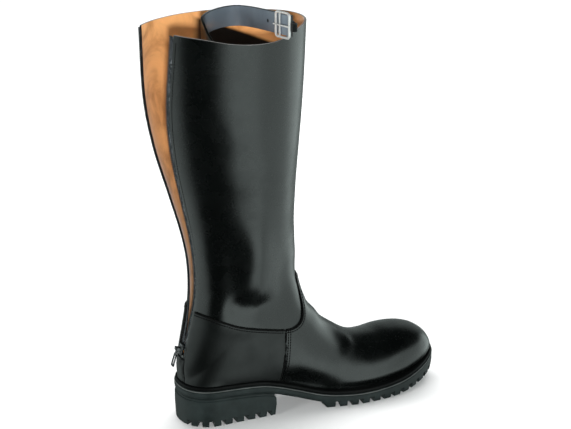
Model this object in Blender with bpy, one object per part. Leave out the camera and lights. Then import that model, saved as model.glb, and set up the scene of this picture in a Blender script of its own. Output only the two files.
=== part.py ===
"""A right-foot patrol boot: lugged sole, hollow leather upper with an open back zip, and a calf strap.

Sizes are in millimetres and become metres when a mesh is made. A station is a distance from the back
of the sole towards the toe. The frame has +X to the toe, +Y to the inner side, +Z up, and its origin
on the floor under the middle of the heel.
"""

import math

import bmesh
import bpy
from mathutils import Matrix, Vector

for thing in list(bpy.data.objects):
    bpy.data.objects.remove(thing, do_unlink=True)

MM = 0.001
GAP = 0.3

# Driving sizes of the sole
SOLE_LENGTH = 313
HEEL_CENTRE = 36
HEEL_ROUND = 36
HEEL_POWER = 2.2
TOE_ROUND = 76
TOE_POWER = 2.15
HEEL_BREAST = 102
TREAD_START = 160
TREAD_STEP = 5
FLAT_END = 229
TOE_SPRING = 14
WELT = 4
SEAT_LAYER = 9.5
INSOLE = 3
LUG_DEPTH = 6.5
LUG_NOTCH = 5.5
LUG_PITCH = 13.5
LUG_REACH = 15
# Reach of the notch cutters past the outline, and stations of the grooves across each tread
NOTCH_PAST = 6
HEEL_GROOVES = (21, 51)
TREAD_GROOVES = (174, 189, 204, 219, 234, 249, 264)
GROOVE_MARGIN = 21
SOLE_STEPS = 28
# Stations added to the outsole where its heel seat bends most
SEAT_STATIONS = (59, 73, 88, 96, 102, 110, 119)

# Driving sizes of the upper
WALL = 2.2
SEAM_GAP = 0.45
OVERLAY_VAMP = 2.0
OVERLAY_QUARTER = 1.5
SIDE_STEPS = 10
ROWS_PER_SECTION = 2
UPPER_COLOUR = (0.025, 0.027, 0.027)
STRIP_HALF = 9
STRIP_TOP = 72.5
VAMP_LAST = 13
QUARTER_FIRST = 8
QUARTER_LAST = 19.5

# Driving sizes of the zip
TAPE_WIDTH = 4.4
TAPE_THICK = 1.6
TAPE_FIRST = 17.2
# Sections over which the tapes turn from straight across to along the wall
TAPE_TURN = 2.0
# Distance that a tape keeps from the slit's edge where it lies straight across
TAPE_CLEAR = 1.1
SLIDER_ORDER = 17.2
SLIDER_LIFT = 0.5
SLIDER_TALL = 12
SLIDER_WIDE = 9
SLIDER_DEEP = 2.6
BAR_RADIUS = 0.9
BAR_OUT = 3.0
EAR_GAP = 4.6
EAR_THICK = 1.3
EAR_TALL = 3.6
EAR_RIM = 0.8
TAB_LONG = 20
TAB_WIDE = 6.4
TAB_NECK = 3.6
TAB_NECK_DROP = 3.2
TAB_RIM = 1.6
TAB_END = 2.5
TAB_THICK = 1.5
TAB_EYE = 2.4
TAB_HOLE = 1.4
TAB_LEAN = 18

# Driving sizes of the calf strap
STRAP_WIDE = 22
CHAPE_WIDE = 9
STRAP_THICK = 2.6
BUCKLE_LONG = 22
BUCKLE_TALL = 28
BUCKLE_WIRE = 2.6
BUCKLE_ROUND = 0.7
PRONG_RADIUS = 1.0

# Station, centre line across (inner side positive), half width
SOLE_PLAN = (
    (0, 0.0, 36.0),
    (40, 0.0, 36.0),
    (90, -1.0, 34.5),
    (125, -3.5, 32.5),
    (155, -4.0, 37.5),
    (190, -3.0, 46.0),
    (217, -1.0, 49.0),
    (247, 1.5, 48.5),
    (283, 5.0, 45.5),
    (313, 8.0, 42.5),
)

# Station, ledge of the sole outside the upper
LEDGE = (
    (0, 5.0),
    (75, 5.0),
    (125, 6.5),
    (190, 8.0),
    (313, 8.0),
)

# Station, height of the welt's top, where the upper starts
FEATHER = (
    (0, 46.5),
    (40, 45.5),
    (85, 42.0),
    (105, 37.0),
    (127, 29.5),
    (157, 20.5),
    (190, 17.5),
    (220, 17.5),
    (257, 21.0),
    (288, 27.5),
    (313, 35.0),
)

# Order, station and height of the back or lower end, station and height of the front or upper end,
# half widths to the outer and inner side, roundness. A height of 0 puts the lower end on the welt.
SECTIONS = (
    (0, 304.0, 0, 304.0, 39, 8.0, 8.0, 2.0),
    (1, 300.0, 0, 301.5, 46, 18.5, 18.5, 2.1),
    (2, 294.5, 0, 297.0, 53, 25.5, 25.5, 2.2),
    (3, 284.5, 0, 287.0, 59, 33.5, 33.5, 2.3),
    (4, 269.0, 0, 271.5, 62.5, 39.5, 40.0, 2.35),
    (5, 247.0, 0, 252.0, 63.5, 43.0, 43.5, 2.3),
    (6, 220.0, 0, 232.5, 62.5, 43.5, 43.5, 2.15),
    (7, 192.0, 0, 210.5, 66, 41.0, 40.0, 2.0),
    (8, 162.0, 0, 187.5, 76.5, 36.5, 35.5, 1.95),
    (9, 131.0, 0, 168.0, 94, 34.0, 33.5, 1.95),
    (10, 100.0, 0, 153.5, 116.5, 34.0, 34.0, 2.0),
    (11, 69.0, 0, 145.5, 138, 34.5, 34.5, 2.0),
    (12, 41.0, 0, 141.0, 157, 35.0, 35.0, 2.0),
    (13, 21.0, 0, 139.0, 173, 35.5, 35.5, 2.0),
    (14, 10.5, 0, 138.0, 186, 36.0, 36.0, 2.0),
    (15, 5.4, 0, 137.0, 196, 36.5, 36.5, 2.0),
    (16, 3.2, 60, 136.5, 206, 37.5, 37.5, 2.0),
    (17, 5.6, 76, 136.0, 216, 38.5, 38.5, 2.0),
    (18, 14.0, 110, 136.0, 232, 41.0, 41.0, 2.0),
    (19, 20.0, 142, 136.5, 248, 43.0, 43.0, 2.0),
    (20, 20.0, 175, 137.0, 265, 46.0, 46.0, 2.0),
    (21, 15.0, 211, 138.0, 286, 50.0, 50.0, 2.05),
    (22, 5.0, 255, 139.5, 311, 54.5, 54.5, 2.1),
    (23, -6.0, 305, 142.0, 341, 58.0, 58.0, 2.1),
    (24, -11.5, 358, 144.5, 378, 60.0, 60.0, 2.1),
    (25, -8.0, 427, 147.0, 430, 60.5, 60.5, 2.1),
)
HEEL_SECTION = 15
SLIT_SECTION = 17
# Sections over which the toe's turn to the inner side fades out of the upper's top line
TOE_TURN = 6

# Height on the back, slit width, set-back of its inner edge behind its outer edge
SLIT = (
    (76, 12.6, 0.0),
    (110, 13.2, 1.0),
    (142, 16.0, 2.5),
    (190, 20.0, 3.0),
    (248, 28.0, 5.0),
    (305, 40.0, 7.0),
    (358, 52.0, 8.5),
    (427, 66.0, 11.5),
)

# Share of the way from the slit to the front, rise of the collar's edge on the outer and the inner side
RIM = (
    (0.0, 7.0, 4.5),
    (0.15, 3.4, 5.0),
    (0.32, -2.4, 5.4),
    (0.5, -5.9, 5.2),
    (0.68, -5.6, 4.2),
    (0.84, 0.8, 3.4),
    (1.0, 3.8, 3.8),
)
# Section above which the wall follows that rise
RIM_SECTION = 24

# Order, station and height of the seam between the shaft and the overlays, seen from the side
ANKLE_SEAM = (
    (0, -30, 130),
    (1, 18, 127),
    (2, 36, 121.5),
    (3, 58, 112.5),
    (4, 85, 104.5),
    (5, 110, 98.5),
    (6, 124, 98),
    (7, 134, 104),
    (8, 138, 116),
    (9, 137.5, 133),
    (10, 136.5, 149),
    (11, 150, 162),
)
SEAM_STEPS = 33
# Order on the seam where the vamp's rear edge starts, and its station at the sole
VAMP_EDGE_ORDER = 5.2
VAMP_EDGE_LOW = 107

# Order, station, distance across and height of the lower edge of the calf strap, from its sewn end
STRAP_ROUTE = (
    (0, 72, -55.3, 378),
    (1, 58, -55.0, 380),
    (2, 45, -51.8, 386),
    (3, 36, -43, 396),
    (4, 32, -28, 407),
    (5, 33, -12, 415),
    (6, 38, 6, 418),
    (7, 50, 21, 419),
    (8, 64, 33, 419),
    (9, 80, 40, 419),
    (10, 92, 36, 419.5),
    (11, 97.5, 20, 421),
    (12, 98, 0, 423.5),
    (13, 98.2, -22, 426),
    (14, 100.4, -46, 427.9),
    (15, 106, -64.4, 427.9),
)
# The buckle's short end, from the buckle to where it is sewn
CHAPE_ROUTE = (
    (0, 104.7, -67, 434),
    (1, 109.3, -66, 433),
    (2, 112.2, -60.5, 432),
    (3, 113.6, -53, 431),
    (4, 115, -46.5, 430.4),
    (5, 118.3, -41.2, 429.4),
    (6, 121.5, -38.5, 424.5),
    (7, 126, -35.3, 418),
    (8, 129.1, -31.6, 412),
)
STRAP_STEPS = 2
BUCKLE_ORDER = 14.44


def blend(table, place):
    """Values of a table at a place, on a smooth curve through its rows. The first column is the place."""
    last = len(table) - 1
    place = min(max(place, table[0][0]), table[last][0])
    k = 0
    while k < last - 1 and place > table[k + 1][0]:
        k += 1
    before, low, high, after = (table[min(max(i, 0), last)] for i in (k - 1, k, k + 1, k + 2))
    span = high[0] - low[0]
    t = (place - low[0]) / span
    values = []
    for c in range(1, len(low)):
        slope_low = (high[c] - before[c]) / (high[0] - before[0]) * span
        slope_high = (after[c] - low[c]) / (after[0] - low[0]) * span
        values.append(
            low[c] * (1 + 2 * t) * (1 - t) ** 2
            + slope_low * t * (1 - t) ** 2
            + high[c] * t * t * (3 - 2 * t)
            + slope_high * t * t * (t - 1)
        )
    return values


def feather(station):
    """Height of the welt's top."""
    return blend(FEATHER, station)[0]


def sole_sides(station, inset):
    """Outer and inner edge of the sole's outline, drawn in by the inset."""
    to_heel = max(0.0, (HEEL_ROUND - station) / (HEEL_ROUND - inset))
    to_toe = max(0.0, (station - SOLE_LENGTH + TOE_ROUND) / (TOE_ROUND - inset))
    close_heel = max(0.0, 1 - to_heel**HEEL_POWER) ** (1 / HEEL_POWER)
    close_toe = max(0.0, 1 - to_toe**TOE_POWER) ** (1 / TOE_POWER)
    centre, half = blend(SOLE_PLAN, station)
    reach = (half - inset) * close_heel * close_toe
    return centre - reach, centre + reach


def tread_bottom(station):
    """Lowest face of the outsole: heel seat, shank, flat forefoot and toe spring."""
    shank = feather(station) - WELT - SEAT_LAYER
    if station <= TREAD_START - TREAD_STEP:
        return shank
    if station < TREAD_START:
        return shank * (TREAD_START - station) / TREAD_STEP
    rise = max(0.0, station - FLAT_END) / (SOLE_LENGTH - FLAT_END)
    return TOE_SPRING * rise**2


def place(station, across, height):
    """A point of the part's frame, in metres."""
    return Vector(((station - HEEL_CENTRE) * MM, across * MM, height * MM))


def finish(name, colour, roughness, metallic=0.0):
    """A plain material of one piece."""
    material = bpy.data.materials.new(name)
    material.use_nodes = True
    shader = material.node_tree.nodes["Principled BSDF"]
    shader.inputs["Base Color"].default_value = (*colour, 1.0)
    shader.inputs["Roughness"].default_value = roughness
    shader.inputs["Metallic"].default_value = metallic
    return material


def add_object(name, mesh, material=None):
    """Links a mesh into the scene as a named object."""
    piece = bpy.data.objects.new(name, mesh)
    bpy.context.scene.collection.objects.link(piece)
    if material:
        mesh.materials.append(material)
    return piece


def from_bmesh(name, shape, material=None, smooth_deg=35):
    """Turns a finished bmesh into an object, with smooth shading below an angle."""
    bmesh.ops.recalc_face_normals(shape, faces=shape.faces)
    mesh = bpy.data.meshes.new(name)
    shape.to_mesh(mesh)
    shape.free()
    mesh.shade_smooth()
    mesh.set_sharp_from_angle(angle=math.radians(smooth_deg))
    return add_object(name, mesh, material)


def add_face(shape, corners):
    """A face from vertices, leaving out repeated ones."""
    kept = [v for i, v in enumerate(corners) if v not in corners[:i]]
    if len(kept) > 2:
        shape.faces.new(kept)


def cutter(name, shape):
    """An object that only cuts others."""
    piece = from_bmesh(name, shape)
    piece.hide_render = True
    piece.display_type = "WIRE"
    return piece


def use_boolean(piece, tool, operation):
    """Cuts or trims a piece with a tool and keeps the result in its mesh."""
    step = piece.modifiers.new(tool.name, "BOOLEAN")
    step.operation = operation
    step.solver = "EXACT"
    step.object = tool
    evaluated = piece.evaluated_get(bpy.context.evaluated_depsgraph_get())
    mesh = bpy.data.meshes.new_from_object(evaluated)
    piece.modifiers.remove(step)
    piece.data = mesh


def sole_stack(name, rings, first, last, extra, material):
    """A layer of the sole: rings of the outline, each (inset, height function), joined and capped."""
    shares = [(1 - math.cos(math.pi * k / SOLE_STEPS)) / 2 for k in range(SOLE_STEPS + 1)]
    shape = bmesh.new()
    sides = []
    for inset, height in rings:
        back = first + inset
        front = last - inset
        outer, inner = [], []
        for station in sorted([back + (front - back) * share for share in shares] + list(extra)):
            low, high = sole_sides(station, inset)
            outer.append(shape.verts.new(place(station, low, height(station))))
            joined = high - low < 1e-3
            inner.append(outer[-1] if joined else shape.verts.new(place(station, high, height(station))))
        sides.append((outer, inner))
    for k in range(len(sides[0][0]) - 1):
        for outer, inner in (sides[0], sides[-1]):
            add_face(shape, [outer[k], outer[k + 1], inner[k + 1], inner[k]])
        for low, high in zip(sides, sides[1:]):
            for side in (0, 1):
                add_face(shape, [low[side][k], low[side][k + 1], high[side][k + 1], high[side][k]])
    for low, high in zip(sides, sides[1:]):
        for end in (0, -1):
            add_face(shape, [low[0][end], low[1][end], high[1][end], high[0][end]])
    return from_bmesh(name, shape, material)


def add_box(shape, centre, along, size):
    """A box turned so that its length runs along a direction in plan."""
    turn = Matrix.Rotation(math.atan2(along.y, along.x), 4, "Z")
    scale = Matrix.Diagonal((size[0] * MM, size[1] * MM, size[2] * MM, 1.0))
    bmesh.ops.create_cube(shape, size=1.0, matrix=Matrix.Translation(centre) @ turn @ scale)


def edge_notches(shape, stations, side, bottom):
    """Notches between the lugs along one edge of a tread, cut square to the outline."""
    nudge = 0.5
    for station in stations:
        edge = Vector((station, sole_sides(station, 0)[side]))
        ahead = Vector((station + nudge, sole_sides(station + nudge, 0)[side]))
        tangent = (ahead - edge).normalized()
        inward = Vector((-tangent.y, tangent.x)) * (1 if side == 0 else -1)
        middle = edge + inward * (LUG_REACH - NOTCH_PAST) / 2
        base = place(middle.x, middle.y, bottom(station))
        add_box(shape, base, inward.to_3d(), (LUG_REACH + NOTCH_PAST, LUG_NOTCH, 2 * LUG_DEPTH))


def outline_stations(first, last, side, pitch):
    """Stations one pitch apart along an edge of the sole."""
    stations, walked, here = [], pitch / 2, first
    step = 0.25
    while here < last:
        run = sole_sides(here + step, 0)[side] - sole_sides(here, 0)[side]
        walked += math.hypot(step, run)
        if walked >= pitch:
            stations.append(here)
            walked -= pitch
        here += step
    return stations


def cross_grooves(shape, stations, bottom):
    """Grooves across the middle of a tread, between its two rows of edge lugs."""
    for station in stations:
        low, high = sole_sides(station, GROOVE_MARGIN)
        base = place(station, (low + high) / 2, bottom(station))
        add_box(shape, base, Vector((0, 1, 0)), (high - low, LUG_NOTCH, 1.6 * LUG_DEPTH))


def make_sole():
    """Heel, outsole, welt and insole, from the floor up."""
    rubber = finish("sole_rubber", (0.03, 0.032, 0.034), 0.62)
    heel_rubber = finish("heel_rubber", (0.03, 0.032, 0.034), 0.62)
    seat_edge = 2.5

    def floor(_):
        return 0.0

    def heel_top(station):
        return tread_bottom(station) - GAP

    heel = sole_stack(
        "heel",
        (
            (1.2, floor),
            (0.2, lambda s: 0.55 * heel_top(s)),
            (0.6, lambda s: heel_top(s) - seat_edge),
            (1.6, lambda s: heel_top(s) - seat_edge + 0.8),
            (1.6, heel_top),
        ),
        0,
        HEEL_BREAST,
        (),
        heel_rubber,
    )
    notches = bmesh.new()
    for side in (0, 1):
        edge_notches(notches, outline_stations(2, HEEL_BREAST - 6, side, LUG_PITCH), side, floor)
    cross_grooves(notches, HEEL_GROOVES, floor)
    use_boolean(heel, cutter("heel_notches", notches), "DIFFERENCE")

    def welt_bottom(station):
        return feather(station) - WELT

    def sole_top(station):
        return welt_bottom(station) - GAP

    outsole = sole_stack(
        "outsole",
        (
            (1.0, tread_bottom),
            (0.0, lambda s: tread_bottom(s) + 0.45 * (sole_top(s) - tread_bottom(s))),
            (0.0, lambda s: sole_top(s) - seat_edge),
            (0.9, lambda s: sole_top(s) - seat_edge + 0.9),
            (0.9, sole_top),
        ),
        0,
        SOLE_LENGTH,
        (*SEAT_STATIONS, TREAD_START - TREAD_STEP, TREAD_START, FLAT_END),
        rubber,
    )
    notches = bmesh.new()
    for side in (0, 1):
        stations = outline_stations(TREAD_START + 5, SOLE_LENGTH - 1.5, side, LUG_PITCH)
        edge_notches(notches, stations, side, tread_bottom)
    cross_grooves(notches, TREAD_GROOVES, tread_bottom)
    use_boolean(outsole, cutter("tread_notches", notches), "DIFFERENCE")

    sole_stack(
        "welt",
        (
            (1.4, welt_bottom),
            (1.0, lambda s: feather(s) - 1.0),
            (1.8, feather),
        ),
        0,
        SOLE_LENGTH,
        (),
        finish("welt_leather", (0.02, 0.021, 0.022), 0.5),
    )
    edge = blend(LEDGE, SOLE_LENGTH)[0] + WALL + 1.3
    sole_stack(
        "insole",
        (
            (edge, lambda s: feather(s) + GAP),
            (edge, lambda s: feather(s) + GAP + INSOLE),
        ),
        0,
        SOLE_LENGTH,
        (),
        finish("insole_leather", (0.55, 0.32, 0.15), 0.8),
    )


def section_at(order):
    """Ends, half widths, roundness and edge half width of one section of the upper."""
    base, base_z, front, front_z, outer, inner, power = blend(SECTIONS_ON_WELT, order)
    setback = 0.0
    if order <= HEEL_SECTION:
        base_z = feather(base) + SEAM_GAP
        low, high = sole_sides(base, blend(LEDGE, base)[0])
        centre, edge = (low + high) / 2, (high - low) / 2
    else:
        centre, edge = 0.0, 0.0
        if order >= SLIT_SECTION:
            width, setback = blend(SLIT, base_z)
            edge = width / 2
    return base, base_z, front, front_z, outer, inner, power, centre, edge, setback


SECTIONS_ON_WELT = tuple(
    (row[0], row[1], row[2] or feather(row[1]) + SEAM_GAP, *row[3:]) for row in SECTIONS
)


def upper_point(order, side, share):
    """Point of the upper's outer face: a section, a side (-1 outer, 1 inner), share from edge to front."""
    base, base_z, front, front_z, outer, inner, power, centre, edge, setback = section_at(order)
    half = max(outer if side < 0 else inner, edge * 1.01 + 0.3)
    start = -math.acos(min(1.0, edge / half) ** (power / 2))
    angle = start + (math.pi / 2 - start) * share

    def climb(turn):
        return math.copysign(abs(math.sin(turn)) ** (2 / power), turn)

    lift = (climb(angle) - climb(start)) / (1 - climb(start))
    straighten = lift * min(1.0, order / TOE_TURN)
    across = centre * (1 - straighten) + side * half * max(0.0, math.cos(angle)) ** (2 / power)
    shift = -setback * (1 - lift) ** 2 if side > 0 else 0.0
    rise = blend(RIM, lift)[0 if side < 0 else 1] * max(0.0, order - RIM_SECTION) ** 2
    return Vector((base + (front - base) * lift + shift, across, base_z + (front_z - base_z) * lift + rise))


def upper_rows(first, last):
    """Orders of the sections in a stretch of the upper."""
    count = round((last - first) * ROWS_PER_SECTION)
    return [first + k / ROWS_PER_SECTION for k in range(count + 1)]


def outer_row(order):
    """Points of one section, from its outer edge over the front to its inner edge."""
    shares = [k / SIDE_STEPS for k in range(SIDE_STEPS + 1)]
    outer = [upper_point(order, -1, share) for share in shares]
    inner = [upper_point(order, 1, share) for share in shares[:-1]]
    return outer + inner[::-1]


def closed_back(order):
    """True where the two edges of a section meet on the heel's back."""
    return HEEL_SECTION < order < SLIT_SECTION


def grid_normals(orders, rows):
    """Outward direction at each point of the rows."""
    normals = []
    width = len(rows[0])
    for r, row in enumerate(rows):
        above = rows[min(r + 1, len(rows) - 1)]
        below = rows[max(r - 1, 0)]
        line = []
        for c in range(width):
            left, right = max(c - 1, 0), min(c + 1, width - 1)
            if closed_back(orders[r]) and c in (0, width - 1):
                left, right = width - 2, 1
            line.append((above[c] - below[c]).cross(row[right] - row[left]).normalized())
        normals.append(line)
    return normals


def shell(name, inside, outside, first, last, material):
    """A leather wall between two offsets of the upper's face, over a stretch of its sections."""
    orders = upper_rows(first, last)
    rows = [outer_row(order) for order in orders]
    normals = grid_normals(orders, rows)
    shape = bmesh.new()
    skins = []
    for offset in (inside, outside):
        skin = []
        for order, row, line in zip(orders, rows, normals):
            verts = []
            for c, (point, normal) in enumerate(zip(row, line)):
                moved = point - normal * offset
                at_edge = c in (0, len(row) - 1)
                if at_edge and order <= HEEL_SECTION:
                    moved.z = feather(moved.x) + SEAM_GAP
                if at_edge and closed_back(order):
                    moved.y = 0.0
                if order == SECTIONS[-1][0]:
                    moved.z = point.z
                if at_edge and closed_back(order) and c:
                    verts.append(verts[0])
                else:
                    verts.append(shape.verts.new(place(*moved)))
            skin.append(verts)
        skins.append(skin)
    low, high = skins
    for skin in skins:
        for row, above in zip(skin, skin[1:]):
            for c in range(len(row) - 1):
                add_face(shape, [row[c], row[c + 1], above[c + 1]])
                add_face(shape, [row[c], above[c + 1], above[c]])
        if first == 0:
            add_face(shape, skin[0])
    for r in range(len(orders) - 1):
        for end in (0, -1):
            rim = [low[r][end], low[r + 1][end], high[r + 1][end], high[r][end]]
            on_back = closed_back(orders[r]) or closed_back(orders[r + 1])
            if not (on_back and orders[r] >= HEEL_SECTION and orders[r + 1] <= SLIT_SECTION):
                add_face(shape, rim)
    if first == 0:
        add_face(shape, [low[0][0], low[0][-1], high[0][-1], high[0][0]])
    for r in (0, -1) if first else (-1,):
        for c in range(len(low[r]) - 1):
            add_face(shape, [low[r][c], low[r][c + 1], high[r][c + 1], high[r][c]])
    close_heel_ends(shape, orders, low, high)
    return from_bmesh(name, shape, material)


def close_heel_ends(shape, orders, low, high):
    """Closes the wall below and above the closed back of the heel."""
    for order, step in ((HEEL_SECTION, 1), (SLIT_SECTION, -1)):
        if order in orders and orders[0] < order < orders[-1]:
            r = orders.index(order)
            for skin in (low, high):
                add_face(shape, [skin[r][0], skin[r][-1], skin[r + step][0]])
            add_face(shape, [low[r][0], low[r][-1], high[r][-1], high[r][0]])


def seam_curve(first, last):
    """Stations and heights along the ankle seam between two orders."""
    steps = range(SEAM_STEPS + 1)
    return [blend(ANKLE_SEAM, first + (last - first) * k / SEAM_STEPS) for k in steps]


def prism(name, outline, low, high):
    """A side-view outline of stations and heights, drawn out across the boot."""
    shape = bmesh.new()
    ends = [[shape.verts.new(place(s, y, z)) for s, z in outline] for y in (low, high)]
    for end in ends:
        shape.faces.new(end)
    for k in range(len(outline)):
        shape.faces.new([ends[0][k - 1], ends[0][k], ends[1][k], ends[1][k - 1]])
    return cutter(name, shape)


def make_overlays():
    """Vamp, quarters and back strip, cut between two offsets of the upper's own face."""
    far, under = 120, 5
    toe = SOLE_LENGTH + far
    rear_edge = blend(ANKLE_SEAM, VAMP_EDGE_ORDER)
    vamp_side = seam_curve(VAMP_EDGE_ORDER, ANKLE_SEAM[-1][0])
    vamp_side += [(toe, vamp_side[-1][1]), (toe, under), (VAMP_EDGE_LOW, under)]
    leather = finish("vamp_leather", UPPER_COLOUR, 0.3)
    vamp = shell("vamp", GAP, GAP + OVERLAY_VAMP, 0, VAMP_LAST, leather)
    use_boolean(vamp, prism("vamp_side", vamp_side, -far, far), "INTERSECT")

    quarter_side = [(s - GAP, z) for s, z in seam_curve(0, VAMP_EDGE_ORDER)]
    quarter_side += [(VAMP_EDGE_LOW - GAP, under), (-far, under), (-far, rear_edge[1])]
    strip_side = [(-far, under), (HEEL_CENTRE, under), (HEEL_CENTRE, STRIP_TOP), (-far, STRIP_TOP)]
    pieces = (
        ("quarter_outer", quarter_side, -far, -STRIP_HALF - GAP / 2, OVERLAY_QUARTER),
        ("quarter_inner", quarter_side, STRIP_HALF + GAP / 2, far, OVERLAY_QUARTER),
        ("back_strip", strip_side, -STRIP_HALF + GAP / 2, STRIP_HALF - GAP / 2, OVERLAY_VAMP),
    )
    for name, side, low, high, thick in pieces:
        leather = finish(f"{name}_leather", UPPER_COLOUR, 0.33)
        piece = shell(name, GAP, GAP + thick, QUARTER_FIRST, QUARTER_LAST, leather)
        use_boolean(piece, prism(f"{name}_side", side, low, high), "INTERSECT")


def ribbon(name, rings, material):
    """A closed bar through a row of four-cornered rings."""
    shape = bmesh.new()
    loops = [[shape.verts.new(place(*corner)) for corner in ring] for ring in rings]
    for low, high in zip(loops, loops[1:]):
        for k in range(4):
            shape.faces.new([low[k - 1], low[k], high[k], high[k - 1]])
    shape.faces.new(loops[0])
    shape.faces.new(loops[-1])
    return from_bmesh(name, shape, material)


def edge_frame(order, side):
    """Start of a tape at the slit's edge, its direction into the slit and the direction out of the wall."""
    edge = upper_point(order, side, 0)
    along_wall = (edge - upper_point(order, side, 1 / SIDE_STEPS)).normalized()
    turned = min(1.0, (order - TAPE_FIRST) / TAPE_TURN)
    across = Vector((0, -side, 0)).lerp(along_wall, turned).normalized()
    nudge = 0.05
    climb = upper_point(order + nudge, side, 0) - upper_point(order - nudge, side, 0)
    outward = climb.cross(across) * -side
    return edge + across * (GAP + TAPE_CLEAR * (1 - turned)), across, outward.normalized()


def make_zip_tapes():
    """The two halves of the open zip, each along one edge of the slit."""
    last = SECTIONS[-1][0] - 0.02
    count = 24
    middle = WALL / 2
    for name, side in (("zip_tape_outer", -1), ("zip_tape_inner", 1)):
        rings = []
        for k in range(count + 1):
            edge, across, outward = edge_frame(TAPE_FIRST + (last - TAPE_FIRST) * k / count, side)
            near = edge - outward * middle
            tip = near + across * TAPE_WIDTH
            half = outward * (TAPE_THICK / 2)
            rings.append((near - half, tip - half, tip + half, near + half))
        ribbon(name, rings, finish(name, (0.02, 0.02, 0.022), 0.7))


def solid_box(size, centre):
    """A box mesh in a tool's own axes."""
    shape = bmesh.new()
    scale = Matrix.Diagonal((*(length * MM for length in size), 1.0))
    bmesh.ops.create_cube(shape, size=1.0, matrix=Matrix.Translation(Vector(centre) * MM) @ scale)
    return shape


def solid_rod(radius, length, centre, sides=16):
    """A rod along Y in a tool's own axes."""
    shape = bmesh.new()
    turn = Matrix.Translation(Vector(centre) * MM) @ Matrix.Rotation(math.pi / 2, 4, "X")
    bmesh.ops.create_cone(
        shape,
        cap_ends=True,
        segments=sides,
        radius1=radius * MM,
        radius2=radius * MM,
        depth=length * MM,
        matrix=turn,
    )
    return shape


def join_solids(name, frame, added, taken, material):
    """One solid from shapes that are joined and shapes that are cut away, set in a frame."""
    piece = from_bmesh(name, added[0], material)
    for k, shape in enumerate(added[1:]):
        use_boolean(piece, cutter(f"{name}_join_{k}", shape), "UNION")
    for k, shape in enumerate(taken):
        use_boolean(piece, cutter(f"{name}_cut_{k}", shape), "DIFFERENCE")
    piece.matrix_world = frame
    return piece


def slider_frame():
    """Frame of the zip slider: X out of the heel's back, Y across, Z up the slit."""
    nudge = 0.1
    low, here, high = (
        Vector(blend(SECTIONS_ON_WELT, SLIDER_ORDER + step)[:2]) for step in (-nudge, 0, nudge)
    )
    climb = (high - low).normalized()
    upward = Vector((climb.x, 0, climb.y))
    across = Vector((0, -1, 0))
    outward = across.cross(upward)
    turn = Matrix((outward, across, upward)).transposed().to_4x4()
    return Matrix.Translation(place(here.x, 0, here.y)) @ turn


def make_zip_slider():
    """The slider at the bottom of the slit and the pull tab that swings on its bar."""
    metal = finish("zip_slider_metal", (0.10, 0.10, 0.105), 0.38, 1.0)
    frame = slider_frame()
    ear_reach = BAR_OUT + BAR_RADIUS + EAR_RIM
    ear_across = (EAR_GAP + EAR_THICK) / 2
    overlap = 0.6
    face = SLIDER_LIFT + SLIDER_DEEP
    parts = [solid_box((SLIDER_DEEP, SLIDER_WIDE, SLIDER_TALL), (SLIDER_LIFT + SLIDER_DEEP / 2, 0, 0))]
    for side in (-1, 1):
        middle = face + (ear_reach - overlap) / 2
        parts.append(solid_box((ear_reach + overlap, EAR_THICK, EAR_TALL), (middle, side * ear_across, 0)))
    bar = (face + BAR_OUT, 0, 0)
    parts.append(solid_rod(BAR_RADIUS, EAR_GAP + EAR_THICK, bar))
    join_solids("zip_slider", frame, parts, (), metal)

    hinge = frame @ (Vector(bar) * MM)
    lean = Matrix.Rotation(math.radians(TAB_LEAN), 4, "Y")
    neck_low = TAB_EYE + TAB_NECK_DROP
    blade = TAB_LONG - neck_low
    parts = [
        solid_rod(TAB_EYE, TAB_NECK, (0, 0, 0)),
        solid_box((TAB_THICK, TAB_NECK, neck_low + overlap), (0, 0, -(neck_low + overlap) / 2)),
        solid_box((TAB_THICK, TAB_WIDE, blade), (0, 0, -neck_low - blade / 2)),
    ]
    slot_size = (4 * TAB_THICK, TAB_WIDE - 2 * TAB_RIM, blade - 2 * TAB_END)
    slot = solid_box(slot_size, (0, 0, -neck_low - blade / 2))
    eye = solid_rod(TAB_HOLE, 3 * TAB_NECK, (0, 0, 0))
    tab_metal = finish("pull_tab_metal", (0.32, 0.32, 0.33), 0.3, 1.0)
    join_solids("pull_tab", Matrix.Translation(hinge) @ lean, parts, (slot, eye), tab_metal)


def strap_rings(route, wide):
    """Rings of a strap that stands on edge along a route."""
    last = route[-1][0]
    count = round(last * STRAP_STEPS)
    nudge = 0.05
    rings = []
    for k in range(count + 1):
        order = last * k / count
        station, across, low = blend(route, order)
        ahead = blend(route, order + nudge)
        behind = blend(route, order - nudge)
        along = Vector((ahead[0] - behind[0], ahead[1] - behind[1])).normalized()
        half = Vector((-along.y, along.x)) * (STRAP_THICK / 2)
        inner = (station + half.x, across + half.y)
        outer = (station - half.x, across - half.y)
        high = low + wide
        rings.append(((*inner, low), (*outer, low), (*outer, high), (*inner, high)))
    return rings


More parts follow.
